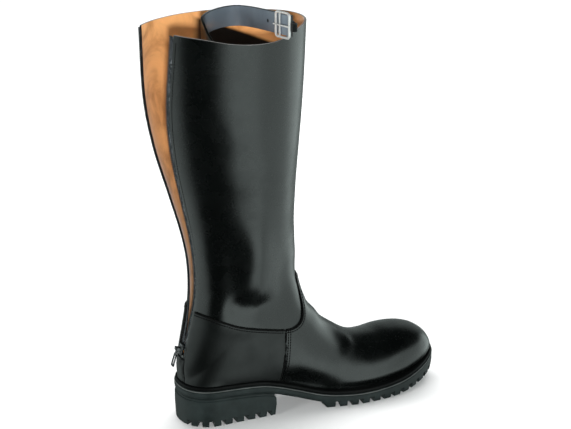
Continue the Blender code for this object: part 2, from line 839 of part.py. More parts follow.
def make_calf_strap():
    """The strap across the collar, its short end, and the buckle that joins them."""
    colour = (0.03, 0.033, 0.036)
    straps = (("calf_strap", STRAP_ROUTE, STRAP_WIDE), ("strap_chape", CHAPE_ROUTE, CHAPE_WIDE))
    for name, route, wide in straps:
        ribbon(name, strap_rings(route, wide), finish(f"{name}_leather", colour, 0.35))

    station, across, low = blend(STRAP_ROUTE, BUCKLE_ORDER)
    ahead = blend(STRAP_ROUTE, BUCKLE_ORDER + 0.3)
    along = Vector((ahead[0] - station, ahead[1] - across, 0)).normalized()
    upward = Vector((0, 0, 1))
    outward = along.cross(upward)
    lift = STRAP_THICK / 2 + GAP + BUCKLE_WIRE / 2
    turn = Matrix((outward, along, upward)).transposed().to_4x4()
    middle = place(station, across, low + STRAP_WIDE / 2) + outward * (lift * MM)
    frame = Matrix.Translation(middle) @ turn
    ring = solid_box((BUCKLE_WIRE, BUCKLE_LONG, BUCKLE_TALL), (0, 0, 0))
    bmesh.ops.bevel(
        ring, geom=ring.edges[:], offset=BUCKLE_ROUND * MM, segments=2, affect="EDGES", profile=0.6
    )
    window = (2 * BUCKLE_WIRE, BUCKLE_LONG - 2 * BUCKLE_WIRE, BUCKLE_TALL - 2 * BUCKLE_WIRE)
    steel = finish("buckle_steel", (0.75, 0.75, 0.76), 0.2, 1.0)
    join_solids("buckle_frame", frame, [ring], [solid_box(window, (0, 0, 0))], steel)
    prong_steel = finish("prong_steel", (0.75, 0.75, 0.76), 0.2, 1.0)
    prong = solid_rod(PRONG_RADIUS, BUCKLE_LONG, (BUCKLE_WIRE / 2 + GAP + PRONG_RADIUS, 0, 0), 10)
    join_solids("buckle_prong", frame, [prong], (), prong_steel)


make_sole()
shell("upper", -WALL, 0.0, 0, SECTIONS[-1][0], finish("upper_leather", UPPER_COLOUR, 0.35))
make_overlays()
make_zip_tapes()
make_zip_slider()
make_calf_strap()
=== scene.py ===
import math
import bmesh
import bpy
import numpy as np
from mathutils import Matrix, Vector
from mathutils.bvhtree import BVHTree


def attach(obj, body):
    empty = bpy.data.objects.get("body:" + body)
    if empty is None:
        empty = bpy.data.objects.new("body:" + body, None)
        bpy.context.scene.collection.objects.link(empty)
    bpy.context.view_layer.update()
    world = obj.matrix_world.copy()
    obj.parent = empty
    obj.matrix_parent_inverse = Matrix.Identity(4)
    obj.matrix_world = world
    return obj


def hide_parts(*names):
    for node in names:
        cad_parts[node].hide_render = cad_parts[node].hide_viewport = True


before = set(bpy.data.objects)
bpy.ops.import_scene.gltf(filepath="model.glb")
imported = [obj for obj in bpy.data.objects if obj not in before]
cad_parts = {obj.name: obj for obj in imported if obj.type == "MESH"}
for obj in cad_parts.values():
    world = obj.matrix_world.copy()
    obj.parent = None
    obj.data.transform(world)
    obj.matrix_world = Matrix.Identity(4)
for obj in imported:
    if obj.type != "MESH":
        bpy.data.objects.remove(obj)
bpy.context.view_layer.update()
mm = 0.001

# sizes and tables shared with the CAD, in millimetres; a station is a distance from the back of the sole
soleSize = {"length": 313, "heelCentre": 36, "heelRound": 36, "heelPower": 2.2, "toeRound": 76,
            "toePower": 2.15, "breast": 102, "treadStart": 160, "treadStep": 5, "flatEnd": 229,
            "toeSpring": 14, "welt": 4, "seatLayer": 9.5, "insole": 3, "seamGap": 0.45, "wall": 2.2}
gap = 0.3  # between neighbours
# station, centre line across, half width
solePlan = [(0, 0.0, 36.0), (40, 0.0, 36.0), (90, -1.0, 34.5), (125, -3.5, 32.5), (155, -4.0, 37.5),
            (190, -3.0, 46.0), (217, -1.0, 49.0), (247, 1.5, 48.5), (283, 5.0, 45.5), (313, 8.0, 42.5)]
# station, ledge of the sole outside the upper
ledgeRows = [(0, 5.0), (75, 5.0), (125, 6.5), (190, 8.0), (313, 8.0)]
# station, height of the welt's top
featherRows = [(0, 46.5), (40, 45.5), (85, 42.0), (105, 37.0), (127, 29.5), (157, 20.5), (190, 17.5),
               (220, 17.5), (257, 21.0), (288, 27.5), (313, 35.0)]
# order, base station, base height (0 on the welt), front station, front height,
# outer and inner half width, roundness
sectionRows = [
    (0, 304.0, 0, 304.0, 39, 8.0, 8.0, 2.0),
    (1, 300.0, 0, 301.5, 46, 18.5, 18.5, 2.1),
    (2, 294.5, 0, 297.0, 53, 25.5, 25.5, 2.2),
    (3, 284.5, 0, 287.0, 59, 33.5, 33.5, 2.3),
    (4, 269.0, 0, 271.5, 62.5, 39.5, 40.0, 2.35),
    (5, 247.0, 0, 252.0, 63.5, 43.0, 43.5, 2.3),
    (6, 220.0, 0, 232.5, 62.5, 43.5, 43.5, 2.15),
    (7, 192.0, 0, 210.5, 66, 41.0, 40.0, 2.0),
    (8, 162.0, 0, 187.5, 76.5, 36.5, 35.5, 1.95),
    (9, 131.0, 0, 168.0, 94, 34.0, 33.5, 1.95),
    (10, 100.0, 0, 153.5, 116.5, 34.0, 34.0, 2.0),
    (11, 69.0, 0, 145.5, 138, 34.5, 34.5, 2.0),
    (12, 41.0, 0, 141.0, 157, 35.0, 35.0, 2.0),
    (13, 21.0, 0, 139.0, 173, 35.5, 35.5, 2.0),
    (14, 10.5, 0, 138.0, 186, 36.0, 36.0, 2.0),
    (15, 5.4, 0, 137.0, 196, 36.5, 36.5, 2.0),
    (16, 3.2, 60, 136.5, 206, 37.5, 37.5, 2.0),
    (17, 5.6, 76, 136.0, 216, 38.5, 38.5, 2.0),
    (18, 14.0, 110, 136.0, 232, 41.0, 41.0, 2.0),
    (19, 20.0, 142, 136.5, 248, 43.0, 43.0, 2.0),
    (20, 20.0, 175, 137.0, 265, 46.0, 46.0, 2.0),
    (21, 15.0, 211, 138.0, 286, 50.0, 50.0, 2.05),
    (22, 5.0, 255, 139.5, 311, 54.5, 54.5, 2.1),
    (23, -6.0, 305, 142.0, 341, 58.0, 58.0, 2.1),
    (24, -11.5, 358, 144.5, 378, 60.0, 60.0, 2.1),
    (25, -8.0, 427, 147.0, 430, 60.5, 60.5, 2.1),
]
# orders where the upper leaves the welt, is shut behind, opens as the slit, and rises to the collar's edge
weltLast, shutFirst, shutLast, slitFirst, rimFirst = 15, 15.5, 16.5, 17, 24
topOrder = sectionRows[-1][0]
# height, width of the slit, setback of its inner side
slitRows = [(76, 12.6, 0.0), (110, 13.2, 1.0), (142, 16.0, 2.5), (190, 20.0, 3.0), (248, 28.0, 5.0),
            (305, 40.0, 7.0), (358, 52.0, 8.5), (427, 66.0, 11.5)]
# share from slit to front, rise of the collar's edge on the outer and inner side
rimRows = [(0.0, 7.0, 4.5), (0.15, 3.4, 5.0), (0.32, -2.4, 5.4), (0.5, -5.9, 5.2), (0.68, -5.6, 4.2),
           (0.84, 0.8, 3.4), (1.0, 3.8, 3.8)]
# place along the seam, station, height
seamRows = [(0, -30, 130), (1, 18, 127), (2, 36, 121.5), (3, 58, 112.5), (4, 85, 104.5), (5, 110, 98.5),
            (6, 124, 98), (7, 134, 104), (8, 138, 116), (9, 137.5, 133), (10, 136.5, 149), (11, 150, 162)]
# place along the strap, station, across, height of its lower edge
strapRows = [(0, 72, -55.3, 378), (1, 58, -55.0, 380), (2, 45, -51.8, 386), (3, 36, -43, 396),
             (4, 32, -28, 407), (5, 33, -12, 415), (6, 38, 6, 418), (7, 50, 21, 419), (8, 64, 33, 419),
             (9, 80, 40, 419), (10, 92, 36, 419.5), (11, 97.5, 20, 421), (12, 98, 0, 423.5),
             (13, 98.2, -22, 426), (14, 100.4, -46, 427.9), (15, 106, -64.4, 427.9)]
chapeRows = [(0, 104.7, -67, 434), (1, 109.3, -66, 433), (2, 112.2, -60.5, 432), (3, 113.6, -53, 431),
             (4, 115, -46.5, 430.4), (5, 118.3, -41.2, 429.4), (6, 121.5, -38.5, 424.5), (7, 126, -35.3, 418),
             (8, 129.1, -31.6, 412)]


def tableAt(table, place):  # a smooth curve through the rows
    last = len(table) - 1
    place = min(max(place, table[0][0]), table[last][0])
    k = 0
    while k < last - 1 and place > table[k + 1][0]:
        k += 1
    before, low, high, after = (table[min(max(i, 0), last)] for i in (k - 1, k, k + 1, k + 2))
    span = high[0] - low[0]
    t = (place - low[0]) / span
    values = []
    for c in range(1, len(low)):
        slopeLow = (high[c] - before[c]) / (high[0] - before[0]) * span
        slopeHigh = (after[c] - low[c]) / (after[0] - low[0]) * span
        values.append(low[c] * (1 + 2 * t) * (1 - t) ** 2 + slopeLow * t * (1 - t) ** 2
                      + high[c] * t * t * (3 - 2 * t) + slopeHigh * t * t * (t - 1))
    return values


def feather(station):
    return tableAt(featherRows, station)[0]


def seamFoot(station):  # lower edge of the upper
    return feather(station) + soleSize["seamGap"]


def soleSides(station, inset):
    s = soleSize
    toHeel = max(0.0, (s["heelRound"] - station) / (s["heelRound"] - inset))
    toToe = max(0.0, (station - s["length"] + s["toeRound"]) / (s["toeRound"] - inset))
    closeHeel = max(0.0, 1 - toHeel ** s["heelPower"]) ** (1 / s["heelPower"])
    closeToe = max(0.0, 1 - toToe ** s["toePower"]) ** (1 / s["toePower"])
    centre, half = tableAt(solePlan, station)
    reach = (half - inset) * closeHeel * closeToe
    return centre - reach, centre + reach


def treadBottom(station):
    s = soleSize
    shank = feather(station) - s["welt"] - s["seatLayer"]
    if station <= s["treadStart"] - s["treadStep"]:
        return shank
    if station < s["treadStart"]:
        return shank * (s["treadStart"] - station) / s["treadStep"]
    rise = max(0.0, station - s["flatEnd"]) / (s["length"] - s["flatEnd"])
    return s["toeSpring"] * rise ** 2


def toFrame(point):  # station, across, height to the shared frame
    return Vector(((point[0] - soleSize["heelCentre"]) * mm, point[1] * mm, point[2] * mm))


def isShut(order):
    return shutFirst <= order <= shutLast


sectionsOnWelt = [(r[0], r[1], r[2] or seamFoot(r[1]), *r[3:]) for r in sectionRows]
sectionForm = {"least": 1.01, "leastMore": 0.3, "straightBy": 6}


def sectionLine(order, side, shares):  # one section of the upper, outer face
    base, baseZ, front, frontZ, outer, inner, power = tableAt(sectionsOnWelt, order)
    centre, edge, setback = 0.0, 0.0, 0.0
    if order <= weltLast:
        baseZ = seamFoot(base)
        low, high = soleSides(base, tableAt(ledgeRows, base)[0])
        centre, edge = (low + high) / 2, (high - low) / 2
    elif order < shutFirst:
        low, high = soleSides(sectionRows[weltLast][1], ledgeRows[0][1])
        edge = (high - low) / 2 * (shutFirst - order) / (shutFirst - weltLast)
    elif shutLast < order < slitFirst:
        edge = slitRows[0][1] / 2 * (order - shutLast) / (slitFirst - shutLast)
    elif order >= slitFirst:
        width, setback = tableAt(slitRows, baseZ)
        edge = width / 2
    half = max(outer if side < 0 else inner, edge * sectionForm["least"] + sectionForm["leastMore"])
    start = -math.acos(min(1.0, edge / half) ** (power / 2))
    angle = start + (math.pi / 2 - start) * shares
    climb = np.sign(np.sin(angle)) * np.abs(np.sin(angle)) ** (2 / power)
    low = math.copysign(abs(math.sin(start)) ** (2 / power), start)
    lift = (climb - low) / (1 - low)
    straighten = lift * min(1.0, order / sectionForm["straightBy"])
    across = centre * (1 - straighten) + side * half * np.maximum(0.0, np.cos(angle)) ** (2 / power)
    shift = -setback * (1 - lift) ** 2 if side > 0 else 0.0
    height = baseZ + (frontZ - baseZ) * lift
    if order > rimFirst:
        rim = np.array([tableAt(rimRows, t)[int(side > 0)] for t in lift])
        height = height + rim * (order - rimFirst) ** 2
    return np.stack([base + (front - base) * lift + shift, across, height], axis=1)


# soft folds: side (-1 outer, 1 inner, 0 both), path of (station, height), width, depth (a bulge is negative)
folds = [
    (-1, [(40, 138), (52, 135), (64, 132), (78, 131), (92, 133), (104, 140)], 12.0, 3.0),
    (-1, [(44, 113), (64, 112), (78, 110), (98, 106)], 9.0, -1.0),
    (-1, [(76, 240), (78, 210), (79, 180), (80, 155), (84, 132), (88, 110)], 15.0, -3.0),
    (-1, [(42, 240), (47, 205), (50, 175), (52, 150), (54, 130), (56, 108)], 15.0, 2.2),
    (-1, [(118, 190), (113, 168), (112, 150), (118, 136)], 8.0, 0.6),
    (-1, [(98, 46), (122, 37), (140, 32), (158, 27), (178, 23)], 13.0, 3.2),
    (0, [(165, 23), (190, 20), (220, 20), (257, 23.5), (288, 30), (318, 39)], 4.5, 1.5),
    (-1, [(38, 50), (60, 49), (88, 46)], 12.0, -0.5),
    (1, [(58, 165), (74, 150), (88, 141), (104, 140)], 8.0, 1.5),
    (1, [(55, 138), (76, 126), (98, 121), (112, 124)], 9.0, -1.5),
    (0, [(140, 180), (145, 152), (151, 131), (157, 116), (165, 101)], 12.0, 4.8),
    (0, [(158, 112), (166, 94), (176, 76), (183, 64), (188, 54)], 8.0, 1.2),
    (0, [(172, 100), (182, 82), (192, 66), (197, 54)], 8.0, -1.3),
    (0, [(190, 84), (197, 70), (203, 58)], 5.5, 0.4),
    (-1, [(66, 92), (84, 86), (98, 84)], 13.0, -0.9),
    (1, [(60, 94), (82, 86), (98, 82)], 13.0, -0.8),
    (-1, [(20, 262), (48, 256), (72, 262)], 16.0, 0.8),
    (-1, [(30, 322), (62, 330), (90, 322)], 20.0, -0.8),
    (1, [(24, 270), (56, 262), (90, 272)], 17.0, 0.9),
    (1, [(10, 340), (40, 330), (80, 344)], 18.0, -0.8),
]
# how folds fade at their ends and across the middle, and the low lobe beside each, in widths
foldForm = {"fade": 3.2, "least": 0.12, "sideSoft": 2.5, "lobe": 0.15, "lobeAt": 2.1, "lobeWide": 0.9}


def nearestOn(path, flat):  # distance to a path, and share along it
    best, along = np.full(len(flat), 1e9), np.zeros(len(flat))
    for k, (a, b) in enumerate(zip(path, path[1:])):
        a, b = np.array(a, float), np.array(b, float)
        run, rel = b - a, flat - a
        t = np.clip(rel @ run / max(run @ run, 1e-9), 0, 1)
        away = np.linalg.norm(rel - t[:, None] * run, axis=1)
        along = np.where(away < best, (k + t) / (len(path) - 1), along)
        best = np.minimum(best, away)
    return best, along


def foldShift(points):
    f = foldForm
    flat = points.reshape(-1, 3)
    total = np.zeros(len(flat))
    for side, path, width, depth in folds:
        best, along = nearestOn(path, flat[:, [0, 2]])
        fade = np.clip(np.minimum(along, 1 - along) * f["fade"], 0, 1)
        fade = f["least"] + (1 - f["least"]) * fade * fade * (3 - 2 * fade)
        on = 1.0 if side == 0 else 1 / (1 + np.exp(-flat[:, 1] * side / f["sideSoft"]))
        lobe = np.exp(-((best - f["lobeAt"] * width) / (f["lobeWide"] * width)) ** 2)
        total -= depth * (np.exp(-(best / width) ** 2) - f["lobe"] * lobe) * fade * on
    return total.reshape(points.shape[:-1])


# edgeFade holds the folds back in the two columns next to the welt
upperGrid = {"perSection": 8, "sideSteps": 46, "calm": (9.5, 19), "calmRounds": 14, "edgeFade": (0.85, 0.95)}


def upperSurface():
    g = upperGrid
    shares = np.linspace(0, 1, g["sideSteps"] + 1)
    orders = [k / g["perSection"] for k in range(topOrder * g["perSection"] + 1)]
    rows = [np.concatenate([sectionLine(o, -1, shares), sectionLine(o, 1, shares)[-2::-1]]) for o in orders]
    points = np.array(rows)
    calm = np.array([r for r, o in enumerate(orders) if g["calm"][0] < o < g["calm"][1]])
    for _ in range(g["calmRounds"]):  # evens out the fan round the heel
        near = points[calm - 1] + points[calm + 1]
        points[calm, 1:-1] = points[calm, 1:-1] * 0.5 + near[:, 1:-1] * 0.25
    above = np.concatenate([points[1:], points[-1:]])
    below = np.concatenate([points[:1], points[:-1]])
    right = np.concatenate([points[:, 1:], points[:, -1:]], axis=1)
    left = np.concatenate([points[:, :1], points[:, :-1]], axis=1)
    shut = [r for r, o in enumerate(orders) if isShut(o)]
    for c in (0, -1):
        left[shut, c] = points[shut, -2]
        right[shut, c] = points[shut, 1]
    normals = np.cross(right - left, above - below)
    normals /= np.maximum(np.linalg.norm(normals, axis=2, keepdims=True), 1e-9)
    if normals[-1, g["sideSteps"], 0] < 0:  # at the front of the collar
        normals = -normals
    fade = np.ones(points.shape[:2])
    onWelt = [r for r, o in enumerate(orders) if o <= weltLast]
    for c, share in enumerate(g["edgeFade"]):
        fade[onWelt, c] = share
        fade[onWelt, -1 - c] = share
    points = points + normals * (foldShift(points) * fade)[:, :, None]
    return orders, points, normals


def offsetSkin(rowOrders, points, normals, offset):
    moved = points + normals * offset
    for r, o in enumerate(rowOrders):
        if o <= weltLast:
            for c in (0, -1):
                moved[r, c, 2] = seamFoot(moved[r, c, 0])
        if isShut(o):
            moved[r, [0, -1], 1] = 0.0
        if o == topOrder:
            moved[r, :, 2] = points[r, :, 2]
    return moved


# materials
def newMaterial(name):
    material = bpy.data.materials.new(name)
    material.use_nodes = True
    tree = material.node_tree
    return material, tree, tree.nodes["Principled BSDF"]


def put(tree, socket, value):  # another node's socket is linked, anything else is set
    if isinstance(value, bpy.types.NodeSocket):
        tree.links.new(value, socket)
    else:
        socket.default_value = value


def setInputs(tree, node, **inputs):
    for key, value in inputs.items():
        put(tree, node.inputs[key.replace("_", " ")], value)


def addNode(tree, kind, modes=None, **inputs):
    node = tree.nodes.new("ShaderNode" + kind)
    for mode, value in (modes or {}).items():
        setattr(node, mode, value)
    setInputs(tree, node, **inputs)
    return node


def objectCoord(tree):
    return addNode(tree, "TexCoord").outputs["Object"]


def noise(tree, coord, scale, detail, roughness=0.5, distortion=0.0):
    node = addNode(tree, "TexNoise", Vector=coord, Scale=scale, Detail=detail, Roughness=roughness,
                   Distortion=distortion)
    return node.outputs["Fac"]


def colourRamp(tree, value, stops):
    node = addNode(tree, "ValToRGB", Fac=value)
    elements = node.color_ramp.elements
    while len(elements) < len(stops):
        elements.new(0.5)
    for element, (place, colour) in zip(elements, stops):
        element.position = place
        element.color = (*colour, 1.0)
    return node.outputs["Color"]


def spread(tree, value, low, high, outLow, outHigh, kind="LINEAR"):
    node = addNode(tree, "MapRange", {"interpolation_type": kind}, Value=value, From_Min=low, From_Max=high,
                   To_Min=outLow, To_Max=outHigh)
    return node.outputs["Result"]


def addBump(tree, height, strength, distance, under=None):
    node = addNode(tree, "Bump", Height=height, Strength=strength, Distance=distance)
    if under:
        tree.links.new(under, node.inputs["Normal"])
    return node.outputs["Normal"]


def join(tree, operation, a, b):
    node = addNode(tree, "Math", {"operation": operation})
    for socket, value in zip(node.inputs, (a, b)):
        put(tree, socket, value)
    return node.outputs["Value"]


def ramp(tree, vector, axis, low, high):  # from 0 to 1 between two places along an axis
    along = addNode(tree, "VectorMath", {"operation": "DOT_PRODUCT"})
    for socket, value in zip(along.inputs, (vector, axis)):
        put(tree, socket, value)
    return spread(tree, along.outputs["Value"], low, high, 0.0, 1.0, "SMOOTHSTEP")


def placeMask(tree, coord, limits):  # 1 where every limit along its axis holds
    mask = 1.0
    for limit in limits:
        mask = join(tree, "MULTIPLY", mask, ramp(tree, coord, *limit))
    return mask


def mixTone(tree, mask, tone, colour):
    node = addNode(tree, "Mix", {"data_type": "RGBA"}, Factor=mask, A=tone, B=(*colour, 1.0))
    return node.outputs["Result"]


def leather(name, dark, light, rough, coat, grain=0.22, shine=0.5, deep=None):
    material, tree, shader = newMaterial(name)
    coord = objectCoord(tree)
    cloud = noise(tree, coord, scale=17.0, detail=5.0, roughness=0.55)
    wave = noise(tree, coord, scale=60.0, detail=4.0, roughness=0.6)
    fine = noise(tree, coord, scale=2600.0, detail=3.0)
    pores = addNode(tree, "TexVoronoi", Vector=coord, Scale=1150.0, Randomness=0.9)
    tone = colourRamp(tree, cloud, [(0.32, dark), (0.72, light)])
    if deep:  # painted shade: darker and duller in one place
        mask = placeMask(tree, coord, deep["limits"])
        tone = mixTone(tree, mask, tone, deep["colour"])
        coat = spread(tree, mask, 0.0, 1.0, coat, 0.0)
    bump = addBump(tree, wave, strength=0.12, distance=0.0012)
    bump = addBump(tree, pores.outputs["Distance"], strength=grain, distance=0.00022, under=bump)
    bump = addBump(tree, fine, strength=0.12, distance=0.0001, under=bump)
    setInputs(tree, shader, Base_Color=tone, Coat_Weight=coat, Coat_Roughness=0.22, Specular_IOR_Level=shine,
              Roughness=spread(tree, wave, 0.3, 0.7, rough - 0.05, rough + 0.07), Normal=bump)
    return material


def suede(name, dark, light, scale=22.0, deep=None):
    material, tree, shader = newMaterial(name)
    coord = objectCoord(tree)
    patch = noise(tree, coord, scale, detail=6.0, roughness=0.62, distortion=0.8)
    nap = noise(tree, coord, scale=1400.0, detail=4.0)
    bright = tuple(min(1.0, v * 1.25) for v in light)
    tone = colourRamp(tree, patch, [(0.34, dark), (0.52, light), (0.75, bright)])
    if deep:  # painted shade: the lining is painted dark further in, away from the slit and the collar, where the walls shade it
        tone = mixTone(tree, placeMask(tree, coord, deep["limits"]), tone, deep["colour"])
    setInputs(tree, shader, Base_Color=tone, Roughness=0.92, Sheen_Weight=0.3, Sheen_Roughness=0.4,
              Normal=addBump(tree, nap, strength=0.5, distance=0.0003))
    return material


def rubber(name, dark, light, rough, shine=0.5):
    material, tree, shader = newMaterial(name)
    coord = objectCoord(tree)
    dust = noise(tree, coord, scale=55.0, detail=7.0, roughness=0.65)
    fine = noise(tree, coord, scale=1700.0, detail=3.0)
    setInputs(tree, shader, Base_Color=colourRamp(tree, dust, [(0.3, dark), (0.7, light)]),
              Roughness=spread(tree, dust, 0.3, 0.7, rough - 0.08, rough + 0.1), Specular_IOR_Level=shine,
              Normal=addBump(tree, fine, strength=0.25, distance=0.00025))
    return material


def metal(name, colour, rough, shine=1.0):
    material, tree, shader = newMaterial(name)
    wear = noise(tree, objectCoord(tree), scale=240.0, detail=6.0, roughness=0.7)
    worn = tuple(v * 0.72 for v in colour)
    setInputs(tree, shader, Base_Color=colourRamp(tree, wear, [(0.35, worn), (0.62, colour)]),
              Roughness=spread(tree, wear, 0.3, 0.7, rough, rough + 0.16), Metallic=shine)
    return material


def weave(name, dark, light, fleck):
    material, tree, shader = newMaterial(name)
    coord = objectCoord(tree)
    rib = addNode(tree, "TexWave", {"bands_direction": "Z"}, Vector=coord, Scale=420.0, Distortion=1.5)
    fuzz = noise(tree, coord, scale=900.0, detail=4.0)
    setInputs(tree, shader, Base_Color=colourRamp(tree, fuzz, [(0.3, dark), (0.56, light), (0.66, fleck)]),
              Roughness=0.8, Normal=addBump(tree, rib.outputs["Fac"], strength=0.6, distance=0.0003))
    return material


black = {"dark": (0.0006, 0.0009, 0.0008), "light": (0.0018, 0.0024, 0.0023)}
shaftLeather = leather("shaftLeather", **black, rough=0.26, coat=0.3)
vampLeather = leather("vampLeather", **black, rough=0.26, coat=0.3)
quarterLeather = leather("quarterLeather", **black, rough=0.48, coat=0.08)
# strap: its black leather is painted a light bluish grey as a sheen, and the deep mask paints its near part,
# which lies in shade, back to dark
strapLeatherPaintedSheen = leather("strapLeatherPaintedSheen", (0.09, 0.112, 0.136), (0.135, 0.163, 0.19), rough=0.36, coat=0.3,
                       grain=0.12, shine=0.25,
                       deep={"colour": (0.002, 0.002, 0.002), "limits": [((0.8, 0.6, 0), 0.022, 0.004)]})
strapShade = leather("strapShade", (0.002, 0.0024, 0.0024), (0.005, 0.006, 0.006), rough=0.6, coat=0.0,
                     grain=0.12, shine=0.12)
# the collar's cut edge, pale grey: partly the raw edge's own lighter tone, partly a painted highlight where
# the edge catches light
cutEdgeToneAndHighlight = leather("cutEdgeToneAndHighlight", (0.1, 0.1, 0.098), (0.26, 0.25, 0.24), rough=0.55, coat=0.0)
blackEdge = leather("blackEdge", (0.004, 0.004, 0.004), (0.01, 0.01, 0.01), rough=0.5, coat=0.1)
weltLeather = leather("weltLeather", (0.001, 0.0012, 0.0012), (0.003, 0.0034, 0.0033), rough=0.6, coat=0.0,
                      shine=0.15)
# lining: tan suede; the deep mask paints the shade and cast shadow deep inside the shaft
lining = suede("lining", (0.46, 0.2, 0.065), (0.76, 0.37, 0.138),
               deep={"colour": (0.003, 0.002, 0.0015),
                     "limits": [((1, 0, 0), 0.01, 0.022), ((0.38, 0, 1), 0.436, 0.4315)]})
insoleSuede = suede("insoleSuede", (0.3, 0.15, 0.06), (0.5, 0.28, 0.12), scale=30.0)
soleRubber = rubber("soleRubber", (0.0042, 0.0066, 0.0065), (0.0155, 0.0215, 0.021), rough=0.55, shine=0.25)
# lighter rubber on the outsole's top lip: a painted highlight along that edge
outsoleLipHighlight = rubber("outsoleLipHighlight", (0.035, 0.039, 0.038), (0.085, 0.092, 0.088), rough=0.5)
threadAndSeamShade = rubber("threadAndSeamShade", (0.001, 0.001, 0.001), (0.003, 0.003, 0.003), rough=0.85, shine=0.2)
# dark discs on the strap's face for its holes: painted shade in place of open holes
holePaintedShade = rubber("holePaintedShade", (0.002, 0.002, 0.002), (0.006, 0.006, 0.006), rough=0.8)
tapeWeave = weave("tapeWeave", (0.003, 0.004, 0.005), (0.012, 0.015, 0.017), (0.22, 0.24, 0.25))
toothMetal = metal("toothMetal", (0.09, 0.09, 0.1), rough=0.35)
sliderMetal = metal("sliderMetal", (0.16, 0.16, 0.165), rough=0.3)
tabMetal = metal("tabMetal", (0.1, 0.1, 0.105), rough=0.3)
nickel = metal("nickel", (0.76, 0.76, 0.75), rough=0.26, shine=0.65)
print("materials", len(bpy.data.materials))


# building pieces
def addPiece(name, mesh, body="boot", slots=(), sharp=40, stands=(), finish=None):
    piece = bpy.data.objects.new(name, mesh)
    bpy.context.scene.collection.objects.link(piece)
    for material in slots:
        mesh.materials.append(material)
    mesh.shade_smooth()
    mesh.set_sharp_from_angle(angle=math.radians(sharp))
    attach(piece, body)
    if stands:
        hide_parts(*stands)
    return piece


def meshOf(name, shape):
    mesh = bpy.data.meshes.new(name)
    shape.to_mesh(mesh)
    shape.free()
    return mesh


def fromBmesh(name, shape, **facts):
    bmesh.ops.recalc_face_normals(shape, faces=shape.faces)
    return addPiece(name, meshOf(name, shape), **facts)


def face(shape, corners, material=0):  # left out where its corners fall together
    kept = [v for i, v in enumerate(corners) if v not in corners[:i]]
    if len(kept) > 2:
        shape.faces.new(kept).material_index = material


def turns(count):
    return [2 * math.pi * k / count for k in range(count)]


def tube(shape, rings, kinds=(0,), cap=0):  # skin and end caps; a first ring that comes again needs no caps
    for low, high in zip(rings, rings[1:]):
        for k in range(len(low)):
            face(shape, [low[k - 1], low[k], high[k], high[k - 1]], kinds[k % len(kinds)])
    if rings[0] is not rings[-1]:
        for end in (rings[0], rings[-1]):
            face(shape, end, cap)


def axesMatrix(place, *axes):
    return Matrix.Translation(place) @ Matrix(axes).transposed().to_4x4()


def shapeToFrame(shape):
    for vert in shape.verts:
        vert.co = toFrame(vert.co)


# upper: outer leather, lining, cut edges
orders, surface, outward = upperSurface()


def skinRows(shape, rows, rowOrders):  # verts of a grid of points, joined behind where the upper is shut
    grid = []
    for line, order in zip(rows, rowOrders):
        spare = int(isShut(order))
        verts = [shape.verts.new(p) for p in line[:len(line) - spare]]
        grid.append(verts + verts[:spare])
    return grid


def skinFaces(shape, grid, rowOrders, material=0):
    for order, low, high in zip(rowOrders, grid, grid[1:]):
        for c in range(len(low) - 1):
            face(shape, [low[c], low[c + 1], high[c + 1], high[c]], material)
        if weltLast <= order < shutFirst or shutLast <= order < slitFirst:
            face(shape, [low[-1], low[0], high[0], high[-1]], material)
    if rowOrders[0] == 0:
        face(shape, grid[0], material)


def buildUpper():
    shape = bmesh.new()
    offsets = (-soleSize["wall"], 0.0)
    low, high = (skinRows(shape, offsetSkin(orders, surface, outward, offset), orders) for offset in offsets)
    skinFaces(shape, low, orders, 1)
    skinFaces(shape, high, orders)
    for r in range(len(orders) - 1):
        if orders[r] < weltLast or orders[r] >= slitFirst:
            for end in (0, -1):
                face(shape, [low[r][end], low[r + 1][end], high[r + 1][end], high[r][end]], 2)
    for c in range(len(low[-1]) - 1):
        face(shape, [low[-1][c], low[-1][c + 1], high[-1][c + 1], high[-1][c]], 3)
    for r in (orders.index(weltLast), orders.index(slitFirst)):
        face(shape, [low[r][0], low[r][-1], high[r][-1], high[r][0]], 2)
    shapeToFrame(shape)
    return fromBmesh("upperShell", shape, slots=(shaftLeather, lining, blackEdge, cutEdgeToneAndHighlight), stands=("upper",),
                     finish="upper")


print("upper", len(buildUpper().data.polygons))


# overlays: the upper's face cut along the seams
def seamPath(first, last, steps=140):
    return [tuple(tableAt(seamRows, first + (last - first) * k / steps)) for k in range(steps + 1)]


def insidePolygon(points, polygon):
    inside = np.zeros(len(points), bool)
    x, y = points[:, 0], points[:, 1]
    for (x1, y1), (x2, y2) in zip(polygon, polygon[1:] + polygon[:1]):
        crosses = (y1 > y) != (y2 > y)
        at = (x2 - x1) * (y - y1) / (y2 - y1 if y2 != y1 else 1e-12) + x1
        inside ^= crosses & (x < at)
    return inside


def regionSign(points, polygon, low, high):  # distance from a region's edge, below zero inside
    flat = points[:, [0, 2]]
    signed = nearestOn(polygon + polygon[:1], flat)[0] * np.where(insidePolygon(flat, polygon), -1.0, 1.0)
    return np.maximum(signed, np.maximum(points[:, 1] - high, low - points[:, 1]))


# how panels are cut and raised; their faces look away from middle, a point inside the foot
overlayForm = {"spare": 4, "rimWide": 1.6, "rimDrop": 0.42, "weltBand": 0.5, "skirt": 0.06,
               "middle": Vector((150, 0, 60))}


